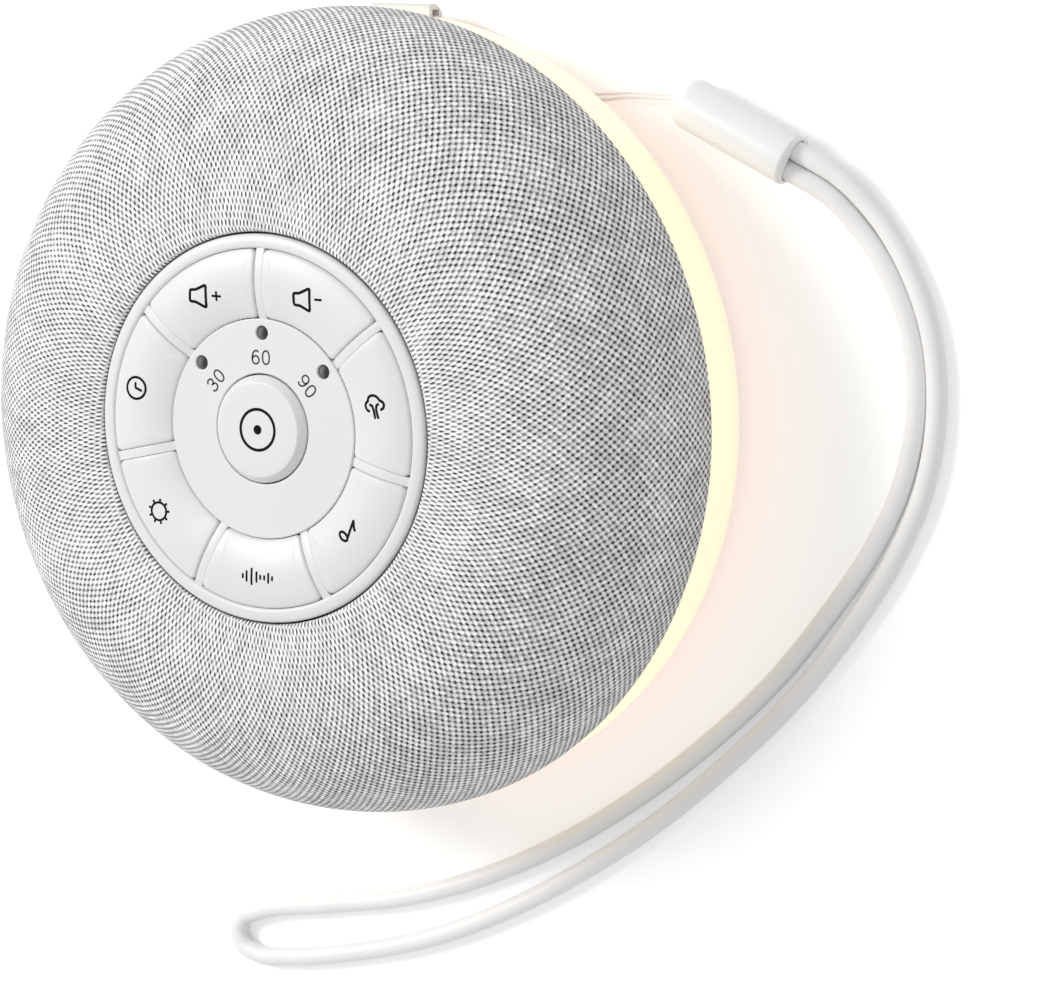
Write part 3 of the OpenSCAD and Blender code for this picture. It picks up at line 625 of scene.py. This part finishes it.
def key_cap(index, name):
    """One ring button: rings that follow its outline inwards, over a rounded edge and up a soft
    shoulder, then to a line along its middle, where both halves meet. The underside is closed
    in the same way."""
    corner, edge, shoulder, soft = 0.75, 0.3, 1.3, 0.06
    core, out, half = key_rows(corner)
    count = len(core)
    partner = (-np.arange(count)) % count
    middle = 0.5 * (core + core[partner])
    spread = np.arctan2(middle[:, 1], middle[:, 0]) * 0.84
    middle = np.hypot(*middle.T)[:, None] * np.stack([np.cos(spread), np.sin(spread)], -1)
    rows = []

    def ring(flat, depth, foot=None):
        drop = soft * np.clip(1 - depth / shoulder, 0, 1) ** 2
        drop = drop + edge - np.sqrt(edge**2 - np.clip(edge - depth, 0, edge) ** 2)
        z = crown(np.hypot(*flat.T)) - drop if foot is None else np.full(count, foot)
        rows.append(np.column_stack([flat, z]))

    for share in np.linspace(0.96, 0, 6):
        ring(core + (corner - edge * share) * out, np.full(count, edge * share), KEY_FOOT)
    ring(core + corner * out, np.zeros(count), KEY_FOOT + 0.1)
    for a in np.radians(np.linspace(0, 90, 8)):
        depth = edge * (1 - math.cos(a))
        ring(core + (corner - depth) * out, np.full(count, depth))
    for depth in np.linspace(edge, corner, 3)[1:]:
        ring(core + (corner - depth) * out, np.full(count, depth))
    way = np.linalg.norm(middle - core, axis=1)
    for share in (np.arange(1, 8) / 8) ** 0.9:
        ring(core + (middle - core) * share, corner + way * share)
    rings = len(rows)
    seam = middle[: half + 1]
    top = np.column_stack([seam, crown(np.hypot(*seam.T))])
    foot = np.column_stack([seam, np.full(half + 1, KEY_FOOT)])
    k = np.arange(count)
    meet = np.minimum(k, count - k)
    after = np.roll(k, -1)
    base = rings * count
    last = (rings - 1) * count
    lid = np.stack([last + k, last + after, base + meet[after], base + meet], -1)
    below = np.stack([after, k, base + half + 1 + meet, base + half + 1 + meet[after]], -1)
    points = np.vstack(rows + [top, foot])
    turn = TAU / 4 + KEY_STEP * (0.5 - index)
    c, s = math.cos(turn), math.sin(turn)
    points[:, :2] = points[:, :2] @ np.array([[c, s], [-s, c]])
    faces = np.vstack([grid_faces(rings, count, wrap_cols=True), lid, below])
    return put(name + "_cap", points, faces, WHITE_KEYS, name, "button_plastic", [name])


def panel_frame():
    """The panel's white frame: a lip ring with rounded edges on a skirt, the hub under the centre
    plate, and a rib between each two keys. A rib's cross-section is flat on top, just below the
    keys' crown, with a quarter circle at either side."""
    lip_in = 21.77
    ring = np.vstack([
        [[22.5, 29.0], [23.5, 29.0], [23.5, 36.4]],
        bow((23.0, 36.5), 0.5, 0, 80, 7), [[22.75, 37.09]],
        bow((22.18, 36.68), 0.4, 90, 180, 7),
        [[lip_in, 35.3], [22.5, 35.3]],
    ])
    hub = [[12.7, 33.35], [13.4, 33.35], [13.4, 35.1], [13.3, 35.2], [12.7, 35.2]]
    sides = 256
    parts = [around(ring, sides), around(hub, sides)]
    faces = [grid_faces(sides, len(ring), True, True), grid_faces(sides, len(hub), True, True)]
    faces[1] = faces[1] + len(parts[0])
    across = RIB_EDGE * (1 - np.cos(QUARTER_TURN)) - RIB_HALF
    drop = RIB_EDGE * (1 - np.sin(QUARTER_TURN))
    across = np.concatenate([across, [0.0], -across[::-1]])
    drop = np.concatenate([drop, [-0.01], drop[::-1]])
    r = np.linspace(13.2, 22.0, 40)
    for i in range(len(KEYS)):
        turn = TAU / 4 - KEY_STEP * i
        x = np.repeat(r[:, None], len(across) + 2, 1)
        y = np.broadcast_to(np.concatenate([[-RIB_HALF], across, [RIB_HALF]]), x.shape)
        top = crown(np.hypot(x[:, 1:-1], y[:, 1:-1])) - RIB_DROP - drop
        low = np.full((len(r), 1), 34.0)
        z = np.hstack([low, top, low])
        c, s = math.cos(turn), math.sin(turn)
        rib = np.stack([x * c - y * s, x * s + y * c, z], -1).reshape(-1, 3)
        cols = x.shape[1]
        base = sum(len(q) for q in parts)
        bars = grid_faces(len(r), cols, wrap_cols=True, flip=True) + base
        parts.append(rib)
        faces.append(bars)
        near_end = np.arange(cols) + base
        faces.append(np.array([near_end, near_end[::-1] + (len(r) - 1) * cols]))
    joined = [tuple(f) for group in faces for f in group.tolist()]
    piece = put(
        "white_panel_frame", np.vstack(parts), joined, WHITE_PANEL, slot="panel_plastic",
        replaces=["panel_frame"],
    )
    piece.data.set_sharp_from_angle(angle=math.radians(KEY_CREASE))
    return piece


def power_cap():
    """The power button: a disc with a flat bevelled edge, closed below, turned about Z."""
    profile = np.vstack([
        [[0.02, KEY_FOOT], [7.4, KEY_FOOT], [7.4, 34.9], [POWER_R, 34.9], [POWER_R, 35.6]],
        bow((POWER_R - 0.15, 36.6), 0.15, 0, 40, 4), bow((5.62, 37.2), 0.3, 45, 90, 5),
        [[4.6, POWER_TOP + 0.01], [3.0, POWER_TOP + 0.02], [0.02, POWER_TOP + 0.02]],
    ])
    sides = 128
    faces = grid_faces(sides, len(profile), True, True)
    piece = put(
        "power_button_cap", around(profile, sides), faces, WHITE_KEYS, "power_button",
        "button_plastic", ["power_button"],
    )
    piece.data.set_sharp_from_angle(angle=math.radians(KEY_CREASE))
    return piece


def timer_domes():
    """Smoked lenses in the plate's holes: at a share q of a lens's radius, its height is
    the plate's top - 0.4 q^2."""
    sides, base, bottom = 40, 0, 32.7
    points, faces = [], []
    r = np.linspace(LENS_R, 0.01, 9)
    dome = np.stack([r, PLATE_TOP - 0.4 * (r / LENS_R) ** 2], -1)
    profile = np.vstack([[[0.01, bottom], [LENS_R, bottom]], dome])
    for degrees in LENS_DEGREES:
        a = math.radians(degrees)
        middle = [LENS_CIRCLE * math.cos(a), LENS_CIRCLE * math.sin(a), 0]
        points.append(around(profile, sides) + middle)
        faces.append(grid_faces(sides, len(profile), True, True) + base)
        base += sides * len(profile)
    return put(
        "timer_lamp_domes", np.vstack(points), np.vstack(faces), LENS, slot="smoked_lens",
        replaces=["timer_lenses"],
    )


# ------------------------------------------------------------------ printed symbols


def rounded(points, radius, closed=False):
    """A line of straight strokes whose corners are turned by short curves of a radius."""
    p = np.asarray(points, float)
    out = []
    count = len(p)
    for i in range(count):
        if not closed and i in (0, count - 1):
            out.append(p[i : i + 1])
            continue
        back, ahead = p[i - 1] - p[i], p[(i + 1) % count] - p[i]
        reach = min(radius, 0.45 * np.linalg.norm(back), 0.45 * np.linalg.norm(ahead))
        a = p[i] + back / np.linalg.norm(back) * reach
        b = p[i] + ahead / np.linalg.norm(ahead) * reach
        t = np.linspace(0, 1, 6)[:, None]
        out.append(a * (1 - t) ** 2 + 2 * p[i] * t * (1 - t) + b * t**2)
    return np.vstack(out)


def oval(x, y, rx, ry, power=1.0, count=44):
    """A closed oval; a power below 1 makes its sides straighter."""
    t = np.arange(count) * TAU / count
    c, s = np.cos(t), np.sin(t)
    wide, high = np.sign(c) * abs(c) ** power, np.sign(s) * abs(s) ** power
    return np.stack([x + rx * wide, y + ry * high], -1)


def evenly(points, step, closed):
    """A line's points again, at even distances of about a step."""
    p = np.vstack([points, points[:1]]) if closed else np.asarray(points, float)
    far = np.concatenate([[0], np.cumsum(np.linalg.norm(np.diff(p, axis=0), axis=1))])
    count = max(int(round(far[-1] / step)), 3)
    at = np.linspace(0, far[-1], count + 1)
    even = np.stack([np.interp(at, far, p[:, 0]), np.interp(at, far, p[:, 1])], -1)
    return even[:-1] if closed else even


def print_on(name, strokes, width, surface, body="housing", material=PRINT):
    """Ink strokes on a surface. Each stroke is a line and whether it is closed. Across the line
    it is a flat bar of four corners, and an open one narrows to a round end: at a distance d
    from its end the half width is sqrt(w^2 - (w - d)^2)."""
    points, faces, base = [], [], 0
    half, step, lift = width / 2, 0.07, 0.02
    for stroke, closed in strokes:
        p = evenly(stroke, step, closed)
        if closed:
            along = np.roll(p, -1, 0) - np.roll(p, 1, 0)
            wide = np.full(len(p), half)
        else:
            along = np.gradient(p, axis=0)
            ends = half * (1 - np.cos(QUARTER_TURN))
            far = np.concatenate([[0], np.cumsum(np.linalg.norm(np.diff(p, axis=0), axis=1))])
            inside = far[(far > half * 1.1) & (far < far[-1] - half * 1.1)]
            at = np.concatenate([ends, inside, far[-1] - ends[::-1]])
            along = np.stack([np.interp(at, far, along[:, 0]), np.interp(at, far, along[:, 1])], -1)
            p = np.stack([np.interp(at, far, p[:, 0]), np.interp(at, far, p[:, 1])], -1)
            near = np.clip(np.minimum(at, far[-1] - at), 0, half)
            wide = np.sqrt(half**2 - (half - near) ** 2) + 0.004
        along = along / np.linalg.norm(along, axis=1)[:, None]
        side = np.stack([-along[:, 1], along[:, 0]], -1) * wide[:, None]
        left, right = p + side, p - side
        z_left, z_right = surface(*left.T), surface(*right.T)
        corners = [
            np.column_stack([left, z_left + lift]), np.column_stack([right, z_right + lift]),
            np.column_stack([right, z_right - lift]), np.column_stack([left, z_left - lift]),
        ]
        count = len(p)
        points.append(np.stack(corners, 1).reshape(-1, 3))
        faces += (grid_faces(count, 4, closed, True) + base).tolist()
        if not closed:
            faces.append([base + 3, base + 2, base + 1, base])
            end = base + (count - 1) * 4
            faces.append([end, end + 1, end + 2, end + 3])
        base += count * 4
    slot = "button_plastic" if body != "housing" else "panel_plastic"
    return put(name, np.vstack(points), faces, material, body, slot, smooth=False)


def on_keys(x, y):
    """Height of the ring buttons' faces at x and y."""
    return crown(np.hypot(x, y))


def flat_top(height):
    """A surface for print_on of one height."""
    return lambda x, y: np.full(np.shape(x), height)


def at(place, strokes, turn=0.0):
    """Strokes turned by an angle and moved to a place."""
    c, s = math.cos(turn), math.sin(turn)
    spin = np.array([[c, s], [-s, c]])
    return [(np.asarray(stroke) @ spin + place, closed) for stroke, closed in strokes]


def line(*points):
    """An open stroke through points."""
    return (np.asarray(points, float), False)


def speaker_outline():
    """A small box that widens into a cone, its corners rounded."""
    half = [(-1.16, 0.72), (-0.36, 0.72), (1.16, 1.4)]
    points = half + [(x, -y) for x, y in half[::-1]]
    return (rounded(points, 0.3, closed=True), True)


def symbols():
    """The signs on the keys: volume up and down, a tree, a note, sound bars, a sun, a clock,
    and the ring and dot of the power button."""
    thick, thin = 0.35, 0.27
    up = [speaker_outline()]
    print_on("volume_up_speaker_sign", at((-8.64, 15.66), up), thick, on_keys, "volume_up_button")
    plus = [line((-0.68, 0), (0.68, 0)), line((0, 0.1), (0, 0.62)), line((0, -0.1), (0, -0.62))]
    print_on("volume_up_plus_sign", at((-5.96, 15.76), plus), thin, on_keys, "volume_up_button")
    print_on("volume_down_speaker_sign", at((6.5, 16.06), up), thick, on_keys, "volume_down_button")
    minus = [line((-0.55, 0), (0.55, 0))]
    print_on("volume_down_minus_sign", at((8.9, 16.15), minus), thin, on_keys, "volume_down_button")

    canopy = [
        (-0.65, -0.63), (-1.16, -0.39), (-1.36, 0.03), (-1.24, 0.41), (-0.98, 0.62),
        (-0.94, 0.93), (-0.64, 1.24), (-0.23, 1.35), (0.32, 1.23), (0.66, 0.95), (0.8, 0.8),
        (1.13, 0.7), (1.35, 0.41), (1.28, -0.03), (0.86, -0.33),
    ]
    left_trunk = [(-0.79, 0.22), (-0.37, 0.1), (-0.2, -0.2), (0.14, -1.44)]
    right_trunk = [(0.66, 0.44), (0.34, 0.2), (0.27, -0.14), (0.39, -0.76), (0.64, -1.38)]
    tree = [(spline(canopy, 60), False), (spline(left_trunk, 24), False)]
    tree += [(spline(right_trunk, 28), False)]
    print_on("nature_tree_sign", at((16.89, 3.94), tree), 0.32, on_keys, "nature_button")

    head = oval(0, 0, 0.67, 0.42)
    stem = rounded([(0.58, -0.2), (1.43, 2.05), (1.5, 1.21), (1.68, 0.7)], 0.1)
    note = at((0, 0), [(head, True)], math.radians(-38)) + [(stem, False)]
    print_on("lullaby_note_sign", at((12.46, -11.86), note), 0.32, on_keys, "lullaby_button")

    bars = [
        (-2.19, 0.66), (-1.64, 1.4), (-0.92, 2.12), (-0.19, 1.4), (0.37, 0.66), (0.95, 0.66),
        (1.54, 1.34), (2.11, 0.66),
    ]
    waves = [line((x, -h / 2), (x, h / 2)) for x, h in bars]
    print_on("white_noise_bars_sign", at((0, -17.89), waves), 0.27, on_keys, "white_noise_button")

    sun = [(oval(0, 0, 1.1, 1.1), True)]
    for a in np.radians(82 - 40 * np.arange(9)):
        ray = np.array([math.cos(a), math.sin(a)])
        sun.append(line(1.2 * ray, 1.6 * ray))
    print_on("night_light_sun_sign", at((-14.7, -11.07), sun), 0.29, on_keys, "night_light_button")

    hands = rounded([(-0.08, 0.74), (-0.08, 0.03), (0.88, -0.34)], 0.04)
    clock = [(oval(0, 0, 1.4, 1.33), True), (hands, False)]
    print_on("timer_clock_sign", at((-17.99, 3.86), clock), 0.31, on_keys, "timer_button")

    on_power = flat_top(POWER_TOP + 0.012)
    power = [(oval(0, 0, 2.47, 2.47, count=96), True), (oval(0, 0, 0.27, 0.27), True)]
    print_on("power_ring_sign", power[:1], 0.37, on_power, "power_button")
    print_on("power_dot_sign", power[1:], 0.62, on_power, "power_button")


def minutes():
    """The timer's numbers beside their lamps, each standing square to its radius."""
    zero = (oval(0, 0, 0.49, 0.8, 0.88), True)
    hook = spline([(0.44, 0.6), (0.12, 0.8), (-0.27, 0.62), (-0.47, 0.12), (-0.49, -0.32)], 24)
    six = [(hook, False), (oval(0, -0.33, 0.49, 0.48), True)]
    nine = [(-hook, False), (oval(0, 0.33, 0.49, 0.48), True)]
    upper = spline([(-0.44, 0.5), (-0.22, 0.76), (0.08, 0.79), (0.38, 0.62), (0.38, 0.28),
                    (0.16, 0.06), (-0.14, 0.04)], 30)
    lower = spline([(-0.1, 0.04), (0.3, -0.04), (0.48, -0.38), (0.32, -0.7), (0.0, -0.81),
                    (-0.32, -0.73), (-0.48, -0.44)], 30)
    three = [(upper, False), (lower, False)]

    for value, first, degrees in (("30", three, 141), ("60", six, 90.8), ("90", nine, 40.5)):
        a = math.radians(degrees)
        pair = at((-0.75, 0), first) + at((0.75, 0), [zero])
        turned = at((8.7 * math.cos(a), 8.65 * math.sin(a)), pair, a - TAU / 4)
        print_on("timer_" + value, turned, 0.21, flat_top(PLATE_TOP), material=GREY_PRINT)


# ------------------------------------------------------------------ base


def foot_ring():
    """The soft ring that it rests on: a flat band with rounded edges, let into the back."""
    r1, r2, top, edge = 32.2, 40.8, 1.75, 0.6
    profile = np.vstack([
        bow((r1 + edge, edge), edge, 180, 270, 6), bow((r2 - edge, edge), edge, 270, 360, 6),
        [[r2, top], [r1, top]],
    ])
    piece = turned_ring(
        "soft_foot_ring", profile, 192, FOOT, slot="foot_silicone", replaces=["foot_ring"]
    )
    piece.data.set_sharp_from_angle(angle=math.radians(KEY_CREASE))
    return piece


# ------------------------------------------------------------------ cords

STRING_ROUTE = [
    (42.5, 37.85, 3.35), (40.5, 38.75, 3.35), (38.7, 39.6, 3.35), (37.3, 39.7, 3.3),
    (35.4, 39.65, 2.95), (33.5, 39.7, 2.45), (31.4, 39.7, 1.8), (29.2, 39.6, 1.15),
    (26.8, 39.4, 0.6), (23.3, 39.4, 0.4), (18.3, 42.2, 0.4), (12.8, 45.4, 0.8), (10.2, 46.8, 2.2),
    (8.2, 47.7, 3.7), (6.4, 48.2, 4.7), (4.4, 48.4, 5.1), (0.6, 48.7, 5.15), (-0.9, 48.8, 5.15),
    (-1.6, 48.5, 5.15), (-1.85, 47.85, 5.15), (-1.6, 47.2, 5.15), (-0.9, 46.9, 5.15),
    (0.6, 47.1, 5.15), (4.2, 48, 4.85), (5.8, 48, 4.2), (7.6, 47.4, 2.9), (9.8, 46.2, 1.4),
    (12.4, 44.9, 0.5), (17.9, 41.9, 0.25), (23.3, 38.9, 0.2), (25.7, 38.65, 0.25), (28, 38.9, 0.6),
    (30.6, 39.1, 1.3), (32.8, 39.2, 2), (34.7, 39.2, 2.55), (36.3, 39.2, 2.9), (37.4, 39.25, 3.05),
    (38.6, 39.2, 3.15), (40.4, 38.4, 3.15), (42.4, 37.5, 3.15),
]
CORD_ROUTE = [
    (49.5, 35.85, 3.25), (54.7, 33.5, 3.25), (59.7, 30.8, 2.4), (64, 26.7, 1.5), (68.1, 21, 1.3),
    (71.4, 13.3, 1.25), (72.5, 4.2, 1.25), (71.2, -5.3, 1.25), (67.4, -14.4, 1.25),
    (61.5, -23.6, 1.25), (53.9, -33.1, 1.25), (44.7, -42.2, 1.25), (35, -50.5, 1.25),
    (24.3, -58, 1.25), (13.3, -64.4, 1.25), (1.5, -69.7, 1.25), (-10.8, -73.3, 1.25),
    (-20.7, -75.2, 1.25), (-25.8, -75.5, 1.25), (-27.9, -74.7, 1.25), (-28.9, -72.8, 1.25),
    (-28.1, -70.8, 1.25), (-25.9, -69.8, 1.25), (-15.1, -67.5, 1.25), (-2.6, -64.9, 1.25),
    (9.7, -60.6, 1.25), (21.4, -54.7, 1.25), (32.4, -47.5, 1.25), (42.4, -39.5, 1.25),
    (51.1, -31.2, 1.25), (58.4, -22.3, 1.25), (64.3, -13.8, 1.25), (68.2, -5.4, 1.25),
    (69.9, 4.2, 1.25), (68.9, 12.6, 1.25), (65.8, 19.7, 1.3), (61.9, 24.9, 1.5), (58.1, 28.7, 2.4),
    (53.7, 31.15, 3.25), (48.5, 33.45, 3.25),
]


def free_cord(name, route, radius, sides, material, slot, node):
    """A limp cord along a route, whose two ends both go back into the object."""
    path = spline(route, ROUTE_STEPS * (len(route) - 1) + 1)
    points, faces = tube(path, radius, sides)
    piece = put(name, points, faces, material, slot=slot, replaces=[node])
    (path * MM).tolist()
    return piece


def lanyard_bead():
    """The bead as loops along its axis: a quarter-round rear, a straight side, a small front
    lip, and then a flat front that changes from a circle to the outline of the cord slot and
    goes on inwards. The slot's outline is a circle moved sideways by 1.28 tanh(6 sin t). A loop
    is its radius, its place along the axis and its share of that move."""
    n = 96
    t = np.arange(n) * TAU / n
    r, rear, lip, deep = BEAD_R, 2.4, 0.5, 8.0
    half, bore = 1.28, 1.42
    front = BEAD_LONG
    loops = [(q[0], q[1], 0.0) for q in bow((r - rear, rear), rear, -89, 0, 14)]
    loops += [(r, q, 0.0) for q in np.linspace(rear, front - lip, 8)[1:]]
    loops += [(q[0], q[1], 0.0) for q in bow((r - lip, front - lip), lip, 0, 90, 8)[1:]]
    flat = r - lip
    loops += [(flat + (bore + 0.05 - flat) * k, front, k) for k in np.linspace(0, 1, 6)[1:]]
    loops += [(bore + 0.015, front - 0.02, 1.0), (bore, front - 0.07, 1.0)]
    loops += [(bore, front - deep, 1.0), (0.05, front - deep, 1.0)]
    loops = np.array(loops)
    shift = half * np.tanh(6 * np.sin(t))[None, :] * loops[:, 2:]
    across = loops[:, :1] * np.cos(t)[None, :]
    level = loops[:, :1] * np.sin(t)[None, :] + shift
    axis = np.array([math.cos(BEAD_TURN), math.sin(BEAD_TURN), 0])
    side = np.array([-axis[1], axis[0], 0])
    up = np.array([0, 0, 1.0])
    place = (
        BEAD_AT + (loops[:, 1, None, None] - BEAD_LONG / 2) * axis
        + level[..., None] * side - across[..., None] * up
    )
    rows = len(loops)
    faces = grid_faces(rows, n, wrap_cols=True).tolist()
    faces += [list(range(n))[::-1], list(range((rows - 1) * n, rows * n))]
    piece = put(
        "lanyard_bead_shell", place.reshape(-1, 3), faces, BEAD, slot="bead_plastic",
        replaces=["lanyard_bead"],
    )
    piece.data.set_sharp_from_angle(angle=math.radians(60))
    return piece


wrist_bead = lanyard_bead()
free_cord(
    "lanyard_thin_string", STRING_ROUTE, STRING_R, 12, STRING, "string", "lanyard_string",
)
free_cord(
    "lanyard_wrist_cord", CORD_ROUTE, CORD_R, 28, CORD, "cord_silicone", "lanyard_cord",
)

# ------------------------------------------------------------------ the object

fabric_cover()
panel_frame()
eased("white_centre_plate", "centre_plate", 0.22, WHITE_PANEL, "panel_plastic")
eased("grey_lanyard_lug", "lanyard_lug", 0.25, LUG_GREY, "grey_plastic")
eased("grey_port_frame", "port_frame", 0.15, LUG_GREY, "grey_plastic")
timer_domes()
for i, key in enumerate(KEYS):
    key_cap(i, key + "_button")
power_cap()
symbols()
minutes()
foot_ring()

FINISHES = {
    "base_plastic": BASE_WHITE, "diffuser": RING_GLOW, "flex_board": STRIP, "lamp": LAMPS,
    "grey_plastic": LUG_GREY, "steel": STEEL, "circuit_board": BOARD, "components": CHIPS,
    "battery_foil": FOIL, "foam": FOAM, "wire": WIRES, "dark_plastic": DARK,
    "black_steel": BLACK, "ferrite": MAGNET, "rubber_roll": SURROUND, "paper_cone": PAPER,
    "copper_coil": COPPER, "woven_fabric": FABRIC, "panel_plastic": WHITE_PANEL,
    "button_plastic": WHITE_KEYS, "smoked_lens": LENS, "silicone": KEY_MAT,
    "ribbon": FLAT_CABLE, "bead_plastic": BEAD, "string": STRING, "cord_silicone": CORD,
    "foot_silicone": FOOT,
}
for node in frame["nodes"].values():
    for holder in node.material_slots:
        holder.material = FINISHES[holder.material.name.split(".")[0]]

# ------------------------------------------------------------------ floor and light


def floor():
    """A pale floor that shows white to the camera and in reflections, and keeps every shadow."""
    p = Paint("pale_floor", (0.86, 0.86, 0.86), 0.9, emission_strength=1.0)
    p.set("Emission Color", p.blend(p.shown_ray(), (0, 0, 0), (0.33, 0.33, 0.33)))
    far = 1500.0
    points = [(-far, -far, 0), (far, -far, 0), (far, far, 0), (-far, far, 0)]
    mesh = bpy.data.meshes.new("floor")
    mesh.from_pydata((np.array(points) * MM).tolist(), [], [(0, 1, 2, 3)])
    mesh.materials.append(p.material)
    plane = bpy.data.objects.new("floor", mesh)
    scene.collection.objects.link(plane)


def surroundings(ambient):
    """White to the camera and in reflections, and a plain grey light on everything else."""
    world = bpy.data.worlds.new("studio")
    scene.world = world
    world.use_nodes = True
    sky = Nodes(world.node_tree)
    background = sky.tree.nodes["Background"]
    sky.feed(background.inputs["Color"], sky.blend(sky.shown_ray(), ambient, (1, 1, 1)))


def lamp(name, azimuth, elevation, distance, size, power):
    """A square lamp at an azimuth from +X and an elevation, facing the middle of the object."""
    light = bpy.data.lights.new(name, "AREA")
    light.size = size
    light.energy = power
    a, e = math.radians(azimuth), math.radians(elevation)
    way = np.array([math.cos(e) * math.cos(a), math.cos(e) * math.sin(a), math.sin(e)])
    turn = Vector(way).to_track_quat("Z", "Y").to_matrix().to_4x4()
    turn.translation = Vector(way * distance) + Vector((0, 0, 0.015))
    holder = bpy.data.objects.new(name, light)
    scene.collection.objects.link(holder)
    holder.matrix_world = turn


floor()
surroundings((0.59, 0.59, 0.59))
lamp("key lamp", 148, 50, 0.9, 0.32, 4.4)

scene.view_settings.view_transform = "Standard"
